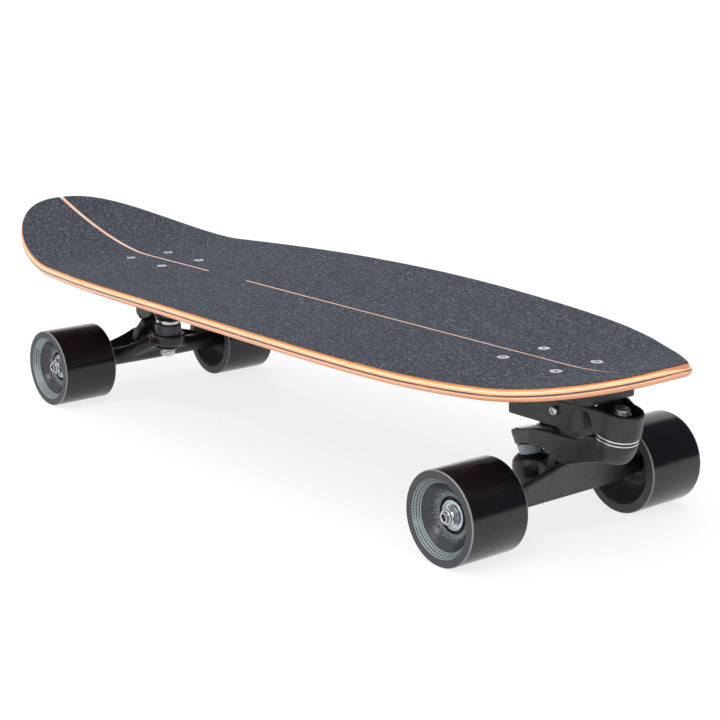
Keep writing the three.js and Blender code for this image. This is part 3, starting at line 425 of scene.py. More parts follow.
class Recipe:
    """A finish in the making."""

    def __init__(self, block, **constants):
        """Starts on a new material of the name given, or on the world."""
        self.block = bpy.data.materials.new(block) if isinstance(block, str) else block
        self.block.use_nodes = True
        self.tree = self.block.node_tree
        self.shader = self.tree.nodes["Principled BSDF" if isinstance(block, str) else "Background"]
        for socket, value in constants.items():
            self.shader.inputs[socket.replace("_", " ")].default_value = value

    def node(self, kind, settings=None, sockets=None):
        """Adds a node: its settings first, then the values or links of its sockets."""
        node = self.tree.nodes.new(kind)
        for setting, value in (settings or {}).items():
            setattr(node, setting, value)
        for socket, value in (sockets or {}).items():
            self.feed(node.inputs[socket], value)
        return node

    def feed(self, socket, value):
        """Links an amount or a socket, and sets a plain value."""
        if isinstance(value, Amount):
            value = value.socket
        if isinstance(value, bpy.types.NodeSocket):
            self.tree.links.new(value, socket)
        else:
            socket.default_value = value

    def place(self):
        """The object's own coordinates, in millimetres."""
        spot = self.node("ShaderNodeTexCoord").outputs["Object"]
        return self.stretched(spot, (1000, 1000, 1000))

    def stretched(self, place, factors):
        """A place times a factor for each axis."""
        node = self.node("ShaderNodeVectorMath", {"operation": "MULTIPLY"}, {0: place, 1: factors})
        return node.outputs[0]

    def own_place(self):
        """The place on a piece before it was seated, in millimetres: across, across, along its axis."""
        spot = self.node("ShaderNodeAttribute", {"attribute_name": "own_place"}).outputs["Vector"]
        return self.parts_of(spot)

    def parts_of(self, vector):
        """A vector's three numbers."""
        parts = self.node("ShaderNodeSeparateXYZ", None, {0: vector})
        return [Amount(self, parts.outputs[k]) for k in range(3)]

    def mark(self, name):
        """A value that the mesh holds at its points."""
        return Amount(self, self.node("ShaderNodeAttribute", {"attribute_name": name}).outputs["Fac"])

    def noise(self, place, scale, detail=2.0, roughness=0.5):
        """A cloudy amount round 0.5; the scale is one number, or one for each axis."""
        if isinstance(scale, tuple):
            place, scale = self.stretched(place, scale), 1.0
        values = {"Vector": place, "Scale": scale, "Detail": detail, "Roughness": roughness}
        return Amount(self, self.node("ShaderNodeTexNoise", None, values).outputs["Fac"])

    def grit(self, place, scale):
        """A random number for each grain, which is its cell's colour, and the way from its middle."""
        node = self.node("ShaderNodeTexVoronoi", None, {"Vector": place, "Scale": scale})
        parts = self.node("ShaderNodeSeparateColor", None, {0: node.outputs["Color"]})
        return Amount(self, parts.outputs[0]), Amount(self, node.outputs["Distance"])

    def mix(self, share, first, second):
        """The first colour where the share is 0 and the second where it is 1."""
        node = self.node("ShaderNodeMix", {"data_type": "RGBA"}, {0: share, 6: first, 7: second})
        return node.outputs[2]

    def seen(self):
        """1 for the rays of the camera, of mirrors and of glass; 0 for the rays that light things."""
        rays = self.node("ShaderNodeLightPath").outputs
        total = Amount(self, rays["Is Camera Ray"]) + Amount(self, rays["Is Transmission Ray"])
        return (total + Amount(self, rays["Is Glossy Ray"])).ramp(0.1, 0.9)

    def steps(self, share, stops):
        """A colour for each share, blended between stops of a position and a screen colour."""
        node = self.node("ShaderNodeValToRGB", None, {0: share})
        ramp = node.color_ramp
        while len(ramp.elements) < len(stops):
            ramp.elements.new(0.5)
        for element, (position, *color) in zip(ramp.elements, stops):
            element.position = position
            element.color = paint(*color)
        return node.outputs[0]

    def relief(self, height, depth_mm):
        """Feeds a height, in shares of the depth, to the surface's slope."""
        values = {"Strength": 1.0, "Distance": depth_mm * MM, "Height": height}
        bump = self.node("ShaderNodeBump", None, values)
        self.feed(self.shader.inputs["Normal"], bump.outputs[0])

    def finished(self, **varying):
        """Feeds what varies to the shader and hands over the material."""
        for socket, value in varying.items():
            self.feed(self.shader.inputs[socket.replace("_", " ")], value)
        return self.block


def wood_finish():
    """Pressed maple: grain along the board on its faces, coloured plies round its edge."""
    recipe = Recipe("pressed_maple", Coat_Roughness=0.2)
    place = recipe.place()
    depth = recipe.mark("depth")
    under = recipe.mark("under")
    grain = recipe.noise(place, (0.02, 0.6, 0.05), 5.0, 0.6)
    pores = recipe.noise(place, (0.06, 3.0, 3.0), 2.0, 0.5)
    face = recipe.mix(grain.ramp(0.3, 0.75), paint(250, 206, 178), paint(232, 172, 136))
    stain = recipe.mix(grain.ramp(0.3, 0.75), paint(128, 76, 60), paint(96, 54, 44))
    face = recipe.mix(under, face, stain)
    face = recipe.mix(pores.ramp(0.55, 0.8) * 0.35, face, paint(120, 66, 42))
    wander = (recipe.noise(place, (0.03, 0.03, 0.03), 1.0) - 0.5) * 0.35
    orange_plies = [(0.0, 196, 100, 32), (0.11, 232, 130, 46), (0.17, 240, 170, 96)]
    pale_plies = [(0.21, 250, 216, 172), (0.33, 250, 222, 182), (0.37, 238, 180, 128), (0.455, 244, 198, 152)]
    dark_ply = [(0.48, 104, 84, 98), (0.505, 58, 51, 72), (0.59, 60, 52, 72), (0.615, 206, 150, 130)]
    low_plies = [(0.66, 250, 206, 172), (0.72, 242, 176, 132), (0.97, 226, 146, 98)]
    plies = recipe.steps((depth + wander) / THICKNESS, orange_plies + pale_plies + dark_ply + low_plies)
    fibre = recipe.noise(place, (0.15, 0.15, 3.5), 3.0, 0.6)
    blotch = recipe.noise(place, (0.05, 0.05, 0.6), 3.0, 0.6)
    plies = recipe.mix(fibre.ramp(0.4, 0.75) * 0.3, plies, paint(190, 104, 50))
    plies = recipe.mix(blotch.ramp(0.5, 0.75) * 0.35, plies, paint(240, 164, 98))
    color = recipe.mix(recipe.mark("side"), face, plies)
    dull = recipe.mark("sanded")
    recipe.relief(grain * 0.6 + pores * 0.4, 0.12)
    rough = 0.3 + 0.2 * grain + 0.4 * dull
    return recipe.finished(Base_Color=color, Roughness=rough, Coat_Weight=0.25 - 0.29 * dull)


def grip_finish():
    """Dark grit on a sheet, with a few pale grains of painted sparkle."""
    recipe = Recipe("grip_grit", Specular_IOR_Level=0.3)
    place = recipe.place()
    shade, away = recipe.grit(place, 0.85)
    fine, _ = recipe.grit(place, 1.7)
    cloud = recipe.noise(place, 0.02, 3.0)
    dark = recipe.mix(shade * 0.55 + fine * 0.45, paint(26, 29, 37), paint(86, 91, 104))
    worn = recipe.mix(cloud.ramp(0.35, 0.8) * 0.15, dark, paint(76, 79, 87))
    # The pale grains are painted sparkle: glints of the grit painted into its colour.
    color = recipe.mix((fine * 0.5 + shade * 0.5).ramp(0.8, 0.93), worn, paint(150, 156, 168))
    recipe.relief(shade * 0.7 + (1 - away) * 0.3, 0.3)
    return recipe.finished(Base_Color=color, Roughness=0.95 - 0.25 * shade.ramp(0.9, 0.96))


def coat_finish(name, dark, light, gloss):
    """A satin coat on a casting, with a faint cast skin and paler rubbed places."""
    recipe = Recipe(name, Specular_IOR_Level=0.5)
    place = recipe.place()
    skin = recipe.noise(place, 1.6, 3.0, 0.55)
    cloud = recipe.noise(place, 0.07, 3.0, 0.5)
    rubbed = recipe.noise(place, (0.25, 0.25, 0.25), 6.0, 0.7)
    color = recipe.mix(cloud.ramp(0.3, 0.75), paint(*dark), paint(*light))
    color = recipe.mix(rubbed.ramp(0.66, 0.8) * 0.25, color, paint(112, 110, 114))
    recipe.relief(skin, 0.06)
    return recipe.finished(Base_Color=color, Roughness=gloss + 0.12 * skin + 0.1 * rubbed.ramp(0.6, 0.8))


def steel_finish(name, color, rough=0.2):
    """Bright plated steel with turning lines and a few dull spots."""
    recipe = Recipe(name, Metallic=1.0)
    place = recipe.place()
    across, over, along = recipe.own_place()
    radius = (across * across + over * over) ** 0.5
    lines = (radius * 22).sine() * 0.5 + (along * 26).sine() * 0.5
    spots = recipe.noise(place, 0.6, 4.0, 0.6)
    tone = recipe.mix(spots.ramp(0.4, 0.8) * 0.5, paint(*color), paint(*(0.72 * np.array(color))))
    recipe.relief(lines * 0.5 + 0.5, 0.02)
    return recipe.finished(Base_Color=tone, Roughness=rough + 0.2 * spots.ramp(0.45, 0.8))


def rubber_finish(name, dark, light, rough):
    """Moulded rubber: a faint skin and dusty clouds."""
    recipe = Recipe(name, Specular_IOR_Level=0.45)
    place = recipe.place()
    cloud = recipe.noise(place, 0.18, 4.0, 0.6)
    skin = recipe.noise(place, 2.4, 2.0)
    recipe.relief(skin, 0.05)
    color = recipe.mix(cloud.ramp(0.35, 0.75), paint(*dark), paint(*light))
    return recipe.finished(Base_Color=color, Roughness=rough + 0.15 * skin)


def wheel_finish():
    """Black urethane: glossy tread, dull side faces, a pale printed ring and rays in the outer dish, and a
    painted highlight round the tread's edges.
    """
    recipe = Recipe("wheel_urethane", Specular_IOR_Level=0.5)
    place = recipe.place()
    across, over, along = recipe.own_place()
    radius = (across * across + over * over) ** 0.5
    turn = across.angle_to(over)
    outer = (along > 102.0) * (radius < 28.9)
    face = recipe.mark("face")
    cloud = recipe.noise(place, 0.12, 4.0, 0.6)
    skin = recipe.noise(place, 3.0, 2.0)
    body = recipe.mix(face, paint(14, 14, 17), paint(54, 53, 58))
    body = recipe.mix(outer, body, paint(44, 45, 50))
    body = recipe.mix(cloud.ramp(0.4, 0.8) * 0.3 * face, body, paint(78, 76, 82))
    # A pale line painted round both edges of the tread: a painted highlight on its rounded corners.
    tread_edge_highlight = radius.ramp(34.2, 34.5) * (along - 90.05).size().ramp(25.0, 25.4)
    across_ring = (radius - 24.9) / 3.8
    ring = across_ring.ramp(-0.03, 0.03) * across_ring.ramp(1.03, 0.97) * outer
    band = (across_ring - 0.5).size().ramp(0.44, 0.36)
    dots = (turn * 84 + across_ring * 9.42).sine() + (across_ring * 18.85 - 1.57).sine()
    fading = recipe.noise(place, (0.05, 0.05, 0.05), 1.0).ramp(0.3, 0.5)
    hatch = dots.ramp(-0.35, 0.25) * band * (0.45 + fading * 0.55)
    reach = recipe.noise(place, (0.7, 0.7, 0.7), 3.0, 0.7) * 15 + 10.0
    rays = (turn * 64 + reach * 0.5).sine().ramp(0.0, 0.7) * (reach - radius).ramp(-0.4, 0.8) * outer
    rays = rays * radius.ramp(13.6, 14.2)
    print_share = ring * (1 - hatch) * 0.88 + rays * 0.7
    color = recipe.mix(print_share, body, paint(158, 173, 179))
    color = recipe.mix(tread_edge_highlight * 0.85, color, paint(142, 141, 147))
    recipe.relief(skin, 0.03)
    rough = 0.1 + 0.05 * cloud + face * 0.4 - outer * 0.28 + print_share * 0.2
    return recipe.finished(Base_Color=color, Roughness=rough)


WOOD = wood_finish()
GRIP = grip_finish()
FRONT_COAT = coat_finish("front_casting_coat", (30, 29, 32), (44, 43, 47), 0.34)
REAR_COAT = coat_finish("rear_casting_coat", (26, 23, 23), (40, 36, 37), 0.3)
STEEL = steel_finish("plated_steel", (205, 206, 210))
PALE_STEEL = steel_finish("bearing_steel", (196, 208, 214), 0.28)
DARK_STEEL = steel_finish("blackened_steel", (62, 62, 66), 0.34)
# The front bushing's pale grey is partly its own colour and partly painted light: it is raised to make up for
# the shade of the arm above it.
GREY_RUBBER = rubber_finish("grey_bushing", (146, 158, 168), (172, 184, 194), 0.34)
DARK_RUBBER = rubber_finish("dark_bushing", (60, 65, 70), (78, 83, 88), 0.4)
# The ring cup's coat is a darker copy of the casting's coat: its extra darkness is painted shade.
DARKENED_RING_CUP_COAT = rubber_finish("ring_cup_coat_painted_shade", (13, 13, 15), (20, 20, 23), 0.3)
BLACK_RUBBER = rubber_finish("black_rubber", (24, 24, 27), (36, 36, 40), 0.42)
HUB_BLACK = rubber_finish("hub_plastic", (12, 12, 14), (22, 22, 25), 0.4)
WHEEL = wheel_finish()


# Deck -------------------------------------------------------------------

HALF_LENGTH = 421.25
HALF_WIDTH = 132.3
SPAN_POINTS = 14
# The left side from the tail tip to the nose tip, in shares of the half length and half width.
OUTLINE = np.array(
    [[-1, 0], [-0.993, 0.166], [-0.9715, 0.305], [-0.9264, 0.455], [-0.8457, 0.612]]
    + [[-0.7223, 0.752], [-0.5, 0.884], [-0.3187, 0.951], [-0.1288, 0.986], [0.1086, 1]]
    + [[0.346, 0.972], [0.5359, 0.913], [0.6309, 0.852], [0.7258, 0.747], [0.8208, 0.579]]
    + [[0.9157, 0.31], [0.9632, 0.14], [0.99, 0.052], [1, 0]]
)


def outline_side():
    """The deck's left side from the tail tip to the nose tip, and the way out of it at each point."""
    side = OUTLINE * [HALF_LENGTH, HALF_WIDTH]
    loop = np.concatenate([side, (side[1:-1] * [1, -1])[::-1]])
    curve = smooth_line(loop, SPAN_POINTS)[: (len(side) - 1) * SPAN_POINTS + 1]
    curve[:, 1] = np.maximum(curve[:, 1], 0)
    way = np.gradient(curve, axis=0)
    way[0], way[-1] = (0, 1), (0, -1)
    out = np.stack([-way[:, 1], way[:, 0]], axis=1)
    return curve, out / np.linalg.norm(out, axis=1)[:, None]


def rise(x, share):
    """The wood's top above its middle height: a kick and a nose lift along the board, and a curl across it.

    The kick is 37.8 times the 1.6th power and the lift 23 times the square of the way along them;
    the curl is 8.2 cos^2 of the way from the middle, times the square of the share of the half width.
    """
    kick = np.maximum(0, -259.25 - x) / 162
    nose = np.maximum(0, x - 310.75) / 110.5
    curl = 8.2 * np.cos(math.pi / 2 * np.minimum(1, np.abs((x - 5.75) / HALF_LENGTH))) ** 2
    return 37.8 * kick**1.6 + 23.0 * nose**2 + curl * share**2


def make_deck():
    """The board's section is carried from tail to nose: two faces, and an edge that bulges as 1 - |t|^3.4.

    The top is sanded down towards the nose tip by the 1.5th power of the way from x = 403, and shows the
    first ply's colour there.
    """
    side, out = outline_side()
    width = np.maximum(side[:, 1], 1e-6)
    tuck = 2.2
    across = np.linspace(1, -1, 41)
    down = np.linspace(1, -1, 15)
    bulge = np.abs(down) ** 3.4
    inner = side - out * tuck
    inner[:, 1] = np.maximum(inner[:, 1], 0)
    drop = 3.2 * np.clip((side[:, :1] - 403) / 18, 0, 1) ** 1.5
    thickness = THICKNESS - 1.5 * np.clip((side[:, :1] - 385) / 36, 0, 1) ** 2 - drop

    def face(height, shares):
        """The top moved by a height, at shares of the half width."""
        x = np.repeat(inner[:, :1], len(shares), axis=1)
        y = inner[:, 1:] * shares
        return np.stack([x, y, DECK_TOP + rise(x, y / width[:, None]) - drop + height], axis=-1)

    def edge(sign):
        """The bulging edge of one side, from the top down."""
        at = side[:, None] - out[:, None] * (tuck * bulge)[None, :, None]
        y = np.maximum(at[..., 1], 0)
        height = (down - 1) / 2 * thickness
        z = DECK_TOP + rise(at[..., 0], y / width[:, None]) - drop + height
        return np.stack([at[..., 0], sign * y, z], axis=-1)[:, 1:-1]

    def around(top, sides, bottom):
        """A value for each point of a section: top face, right edge, bottom face, left edge."""
        sides = np.broadcast_to(float(sides) if np.ndim(sides) == 0 else sides, len(down) - 2)
        faces = [np.full(len(across), float(value)) for value in (top, bottom)]
        return np.concatenate([faces[0], sides, faces[1], sides[::-1]])

    ring = [face(0, across), edge(-1), face(-thickness, -across), edge(1)[:, ::-1]]
    below = around(0, (1 - down[1:-1]) / 2, 1)
    sanded = around(1, 0, 0) * np.clip((side[:, :1] - 366) / 24, 0, 0.85)
    marks = {
        "depth": np.where(sanded > 0, 0.1 + 0.25 * drop, drop + (THICKNESS - drop) * below),
        "side": np.maximum(around(0, 1, 0), sanded),
        "under": around(0, 0, 1)[None],
        "sanded": sanded,
    }
    skin = Skin(np.concatenate(ring, axis=1), marks=marks)
    add("deck_wood", [skin], "board", "wood", WOOD, "deck", crease=60)


def slit(x):
    """Half the bare stripe's width: it narrows from tail to nose and is closed behind the middle."""
    half = np.interp(x, [-421, -149.25, -92.25, 421], [2.4, 1.8, 1.8, 1.4])
    return np.where((x > -149.3) & (x < -92.2), 0.0, half)


def make_grip():
    """Each half of the sheet runs from the stripe to near the deck's edge and ends square at the nose."""
    side, out = outline_side()
    inner = side - out * 1.5
    width = np.maximum(side[:, 1], 1e-6)
    order = np.arange(len(side))
    ends = np.interp([-149.35, -149.2, -92.3, -92.15, 401.75], side[:, 0], order)
    at = np.sort(np.concatenate([order[inner[:, 1] > 3], ends]))
    at = at[at <= ends[-1]]
    x, y, full = (np.interp(at, order, values) for values in (inner[:, 0], inner[:, 1], width))
    shares = np.linspace(0, 1, 25)
    near = np.minimum(slit(x), y - 0.5)[:, None]
    y_row = near + (y[:, None] - near) * shares
    x_row = np.repeat(x[:, None], shares.size, axis=1)
    base = DECK_TOP + rise(x_row, y_row / full[:, None])
    for sign, name in ((1, "grip_left"), (-1, "grip_right")):
        top = np.stack([x_row, sign * y_row, base + GRIP_HEIGHT], axis=-1)
        low = np.stack([x_row, sign * y_row, base + 0.03], axis=-1)[:, ::-1]
        sheet = capped(np.concatenate([top, low], axis=1))
        add(name, [sheet], "board", "grip", GRIP, "griptape", crease=50)


def cross_head(seat, top):
    """A flat head whose top is sunk by a cross: the depth is the larger of two crossing bars."""
    radius = np.concatenate([np.linspace(0, 3.4, 30), [3.9, 4.3, 4.55]])
    angle = np.linspace(0, TURN, 96, endpoint=False)
    x, y = radius[:, None] * np.cos(angle), radius[:, None] * np.sin(angle)

    def bar(a, b):
        """1 in one bar of the cross and 0 beside it."""
        return np.clip((0.85 - np.abs(a)) / 0.22, 0, 1) * np.clip((2.7 - np.abs(b)) / 0.5, 0, 1)

    def ring(r, z):
        """A round row of points."""
        return np.stack([r * np.cos(angle), r * np.sin(angle), np.full(angle.size, z)], axis=-1)[None]

    sink = 1.5 * np.maximum(bar(x, y), bar(y, x)) * np.clip(1.3 - 0.25 * radius[:, None], 0.3, 1)
    dome = 0.16 * (1 - (radius[:, None] / 4.6) ** 2)
    upper = np.stack([x, y, top + dome - sink], axis=-1)[::-1]
    cone = [ring(0, -3.0), ring(2.3, -3.0), ring(4.5, -0.2), ring(4.65, top - 0.2), ring(4.6, top - 0.03)]
    return Skin(np.concatenate([*cone, upper]), seat)


def threaded(radius, low, high, pitch=1.0, depth=0.16):
    """A rod's profile with thread grooves: its radius swings by a triangle wave along it."""
    height = np.arange(low, high, pitch / 4)
    wave = np.abs((height - low) / pitch % 1 * 2 - 1)
    grooves = zip(radius - depth * wave, height + 0.3)
    return [[0, low], [radius - 0.4, low], *grooves, [radius - 0.3, high + 0.3], [0, high + 0.3]]


def locknut(across, bore, low, height, seat):
    """A hexagon nut with turned-down corners and a round collar above its flats."""
    corner = across / math.sqrt(3)
    slope = 0.57 * (corner - across * 0.47)
    collar = 0.3
    top, end = low + height * (1 - collar), low + height
    flats = [[bore, low], [across * 0.47, low], [corner, low + slope], [corner, top - slope]]
    neck = [[across * 0.47, top], [across * 0.43, top + 0.1], [across * 0.42, end - 0.3]]
    mouth = [[across * 0.39, end], [bore + 0.2, end], [bore, end - 0.3], [bore, low]]
    return turned(flats + neck + mouth, 0.2, seat, 72, hexagon(across), 2)


def ring_piece(inner, outer, low, high, seat, soft=0.3):
    """A flat ring with rounded edges."""
    middle = (inner + outer) / 2
    corners = [[middle, low], [outer, low], [outer, high], [inner, high], [inner, low], [middle, low]]
    return turned(corners, soft, seat, steps=2)


def make_bolts():
    """Four bolts to a truck; the front pair nearest the nose ends inside the casting."""
    spots = {"inner_right": (-1, -1), "inner_left": (-1, 1), "outer_right": (1, -1), "outer_left": (1, 1)}
    for truck, centre, stack in (("front", 290.25, 17.5), ("rear", -224.75, 27.0)):
        for corner, (along, side) in spots.items():
            along = along if truck == "front" else -along
            x, y = centre + along * BOLT_SPACING[0] / 2, side * BOLT_SPACING[1] / 2
            seat = Seat((x, y, DECK_TOP))
            blind = truck == "front" and along > 0
            nut_top = -stack - 0.3
            end = -stack - 5.5 if blind else nut_top - 8
            head = cross_head(seat @ Seat(turn=spun(0.5 + 1.3 * x + 0.7 * y)), 0.75)
            skins = [head, revolved(threaded(2.35, end, -2.5), seat, 24)]
            if not blind:
                skins.append(locknut(8.4, 2.4, 0, 5, seat @ Seat((0, 0, nut_top), UPSIDE_DOWN)))
            add(f"{truck}_{corner}_screw", skins, "board", "steel", STEEL, f"{truck}_bolt_{corner}")


# Wheels -----------------------------------------------------------------


def bowl(rim, foot, rim_z, foot_z, power):
    """A dish's profile from its rim to its foot: the height follows a power of the way in."""
    t = np.linspace(0, 1, 14)
    radius = rim + (foot - rim) * t
    return np.stack([radius, rim_z + (foot_z - rim_z) * (1 - (1 - t) ** power)], axis=1)


def make_wheel(truck, name, side):
    """A wheel on its axle end: tyre, core and bearings turn, and the axle nut stays on the hanger."""
    corner = f"{truck}_{name}"
    body = f"{corner}_wheel"
    seat = Seat((front_truck if truck == "front" else rear_truck).at, looking((0, side, 0)))
    inner_dish = bowl(27.5, 14.0, 64.0, 81.0, 1.9)
    outer_dish = bowl(24.9, 13.4, 110.9, 103.2, 1.8)
    tread = [[28.0, 63.5], [34.1, 63.5], [35.0, 64.4], [35.0, 115.8], [34.2, 116.6], [28.9, 116.6]]
    foot = [[13.4, 81.0]]
    lip = [[28.7, 116.3]]
    profile = np.concatenate([foot, inner_dish[::-1], softened(tread, 0.6, 4), lip, outer_dish, foot])
    tyre = revolved(profile, seat, 128)
    on_tread = (profile[:, 0] > 34.6) & (profile[:, 1] > 64.2) & (profile[:, 1] < 116.0)
    tyre.marks["face"] = np.where(on_tread, 0.0, 1.0)[:, None]
    add(f"{corner}_urethane", [tyre], body, "wheel", WHEEL, f"{corner}_tyre", crease=40)
    core = [[11.2, 81.2], [13.3, 81.0], [13.3, 101.5], [11.2, 101.5], [11.2, 81.2]]
    add(f"{corner}_hub", [turned(core, 0.3, seat, steps=2)], body, "core", HUB_BLACK, f"{corner}_core")
    race = [[7.6, 3.0], [6.5, 3.0], [6.4, 3.5], [4.4, 3.5], [4.2, 3.3], [4.2, -3.5], [10.8, -3.5]]
    race += [[11.1, -3.2], [11.1, 3.2], [10.8, 3.5], [9.7, 3.5], [9.5, 2.9], [8.9, 3.15], [7.6, 3.0]]
    for place, flip, middle, finish in (("outer", 1, 100.3, PALE_STEEL), ("inner", -1, 84.5, DARK_STEEL)):
        own = seat @ Seat((0, 0, middle), np.diag([1, flip, flip]))
        skins = [turned(race, 0.2, own, steps=2)]
        if place == "inner":
            skins.append(ring_piece(4.3, 5.6, 3.5, 13.0, own))
        add(f"{corner}_{place}_race", skins, body, "steel", finish, f"{corner}_{place}_bearing")
    nut = locknut(13, 4.1, 105.0, 5.2, seat)
    washer = ring_piece(4.3, 7.6, 103.9, 104.9, seat)
    add(f"{corner}_locknut", [nut, washer], f"{truck}_hanger", "steel", STEEL, f"{corner}_axle_nut")


def make_axle(truck):
    """The axle bar: both its ends are threaded, and hollowed by a small centre bore."""
    across = hangers[truck] @ Seat(turn=looking((0, 1, 0)))
    thread = [[4.0 - 0.14 * (k % 2), 104.5 + 0.5 * k] for k in range(14)]
    half = [[3.9, 0], [4.0, 80], [4.0, 104], *thread]
    half += [[3.7, 111.8], [2.9, 112.0], [2.5, 111.5], [2.4, 103.4], [0, 103.0]]
    bar = revolved([[r, -z] for r, z in half[::-1]] + half, across, 48)
    add(f"{truck}_axle_bar", [bar], f"{truck}_hanger", "steel", STEEL, f"{truck}_axle")


# Trucks -----------------------------------------------------------------


def pivot_pocket(truck):
    """The room for the hanger's stem and its cup."""
    seat = hangers[truck] @ Seat(PIVOT, looking(STEERING))
    profile = [[0, -40.2], [9.0, -40.2], [9.0, -2.0], [7.1, -2.0], [7.1, 3.1], [4.6, 7.7], [0, 7.7]]
    return turned(profile, 0.5, seat, 48, steps=2)


def pin_room(truck, reach, seat_height, head_seat):
    """The room for the upper washer, the kingpin and its head."""
    profile = [[0, 2], [reach, 2], [reach, seat_height], [5.06, seat_height], [5.06, head_seat]]
    profile += [[8.9, head_seat], [8.9, head_seat + 60], [0, head_seat + 60]]
    return revolved(profile, hangers[truck] @ Seat(RING), 64)


def make_hanger(truck, coat):
    """The hanger: a tapered cross beam, a leaning web, a belled ring, a bridge and a bent stem.

    The rear beam bows up and back to the ring by exp(-(t / 0.42)^2) of the way t along it.
    The stem's neck follows (1-t)^2 a + 2t(1-t) b + t^2 c.
    """
    seat = hangers[truck]
    front = truck == "front"
    taper = [[8.6, 0], [8.4, 40], [7.2, 76], [7.0, 80.7], [0, 80.7]]
    taper = [[r, -h] for r, h in taper[:0:-1]] + taper
    beam = turned(taper, 1.0, seat @ Seat(turn=looking((0, 1, 0))), 64)
    lean = math.radians(36.2)
    along = np.array([math.sin(lean), 0, math.cos(lean)])
    out = np.array([math.cos(lean), 0, -math.sin(lean)])
    web_seat = seat @ Seat(np.array([7.8, 0, -7.1]) - 5 * out, np.stack([[0, 1, 0], along, out], axis=1))
    peak = [[0, 29], [12, 27.4], [20, 24.2], [29, 21.6], [42.2, 18.4], [50.4, 16]]
    fin_side = [[21, 4], [19.6, 12], [17.4, 19], [14.2, 22.5], [11.8, 25], [9.4, 29]]
    if front:
        peak = [[0, 31.5], [15.5, 31], [24.4, 27.3], [33.4, 24.2], [42.2, 21], [50.4, 18]]
        fin_side = [[22, 4], [19.5, 9], [14.5, 14], [11.0, 18], [8.8, 22], [7.6, 25.5]]
    side = [*peak, [58, 12], [63, 5], [60, -1], [50, -2.2]]
    web = slab(rounded([*side, *[[-y, z] for y, z in side[:0:-1]]], 3, 1.6), 0, 5, web_seat, 0.9)
    fin_seat = seat @ Seat((2.5, 0, 0), [[0, 0, 1], [1, 0, 0], [0, 1, 0]])
    fin_outline = rounded([*fin_side, *[[-y, z] for y, z in fin_side[::-1]]], 2, 1.2, 3)
    fin = slab(fin_outline, 0, 9, fin_seat, 1.5)
    ring = seat @ Seat(RING)
    core = [[0, -2.2], [11.6, -2.2], [12.4, -1.4], [12.4, 5.4], [11.6, 6.2], [0, 6.2]]
    plain = [[0, -2.2], [14.8, -2.2], [16.2, -0.8], [16.4, 4], [15.9, 7], [14.4, 8.2], [0, 8.2]]
    pieces = [turned(core if front else plain, 1.0, ring, 96)]
    t = np.linspace(-1, 1, 61)
    bump = np.exp(-((t / 0.42) ** 2))
    for share in () if front else (0.25, 0.5, 0.75, 1.0):
        path = np.stack([-15 * share * bump, 62 * t, 16 * share * bump], axis=1)
        pieces.append(swept(path, 6.8 - 1.6 * bump, seat, 40, (0, 0, 1)))
    bridge = [[-23.2, 10.1], [-11, 10.1], [-7, -3.5], [0, -7], [9, 0]]
    bridge += [[9, 9], [0, 16.1], [-11, 21.5], [-23.2, 21.5]]
    half = 8.5 if front else 14
    yoke = slab(rounded(bridge, 3, 1.2), -half, half, seat @ Seat(turn=SIDEWAYS), 3.0)
    t = np.linspace(0, 1, 24)[:, None]
    elbow = np.array(PIVOT) - 8 * STEERING
    tip = np.array(PIVOT) - 1.7 * STEERING
    path = (1 - t) ** 2 * np.array([4.0, 0, 4]) + 2 * t * (1 - t) * (elbow + [0.4, 0, -1.4]) + t**2 * tip
    neck = swept(path, np.interp(t[:, 0], [0, 0.6, 1], [8.6, 6.9, 6.3]), seat, 40)
    stem = [[0, -8], [6.3, -8], [6.3, -2.2], [5.6, -1.6], [5.6, 2], [3, 5.6], [0, 5.6]]
    nose = turned(stem, 0.8, seat @ Seat(PIVOT, looking(STEERING)), 48)
    mouth = 10.9 if front else 13.0
    room = [[0, -20], [11.5, -20], [11.5, -0.5], [7, -0.5], [7, 2], [mouth, 2], [mouth, 12], [0, 12]]
    cup = revolved(room, ring, 80)
    obj = cast(f"{truck}_crossbeam", [beam, web, yoke, fin, neck, nose, *pieces], [cup])
    fitted(obj, f"{truck}_hanger", "casting", coat, f"{truck}_hanger")
    if front:
        bell = [[11.0, 8.9], [12.9, 7.6], [14.9, 5], [15.8, 1], [16, -3], [15.4, -8], [13.8, -12.4]]
        bell += [[13.1, -13.2], [12.2, -13.2], [12.5, -7], [12.45, 6.3], [11.0, 6.3], [11.0, 8.9]]
        # The front ring's bell is a separate shell in that darker coat: painted shade on the casting's bell.
        cup = turned(bell, 0.9, ring, 96, steps=4)
        add("front_ring_cup", [cup], "front_hanger", "casting", DARKENED_RING_CUP_COAT)


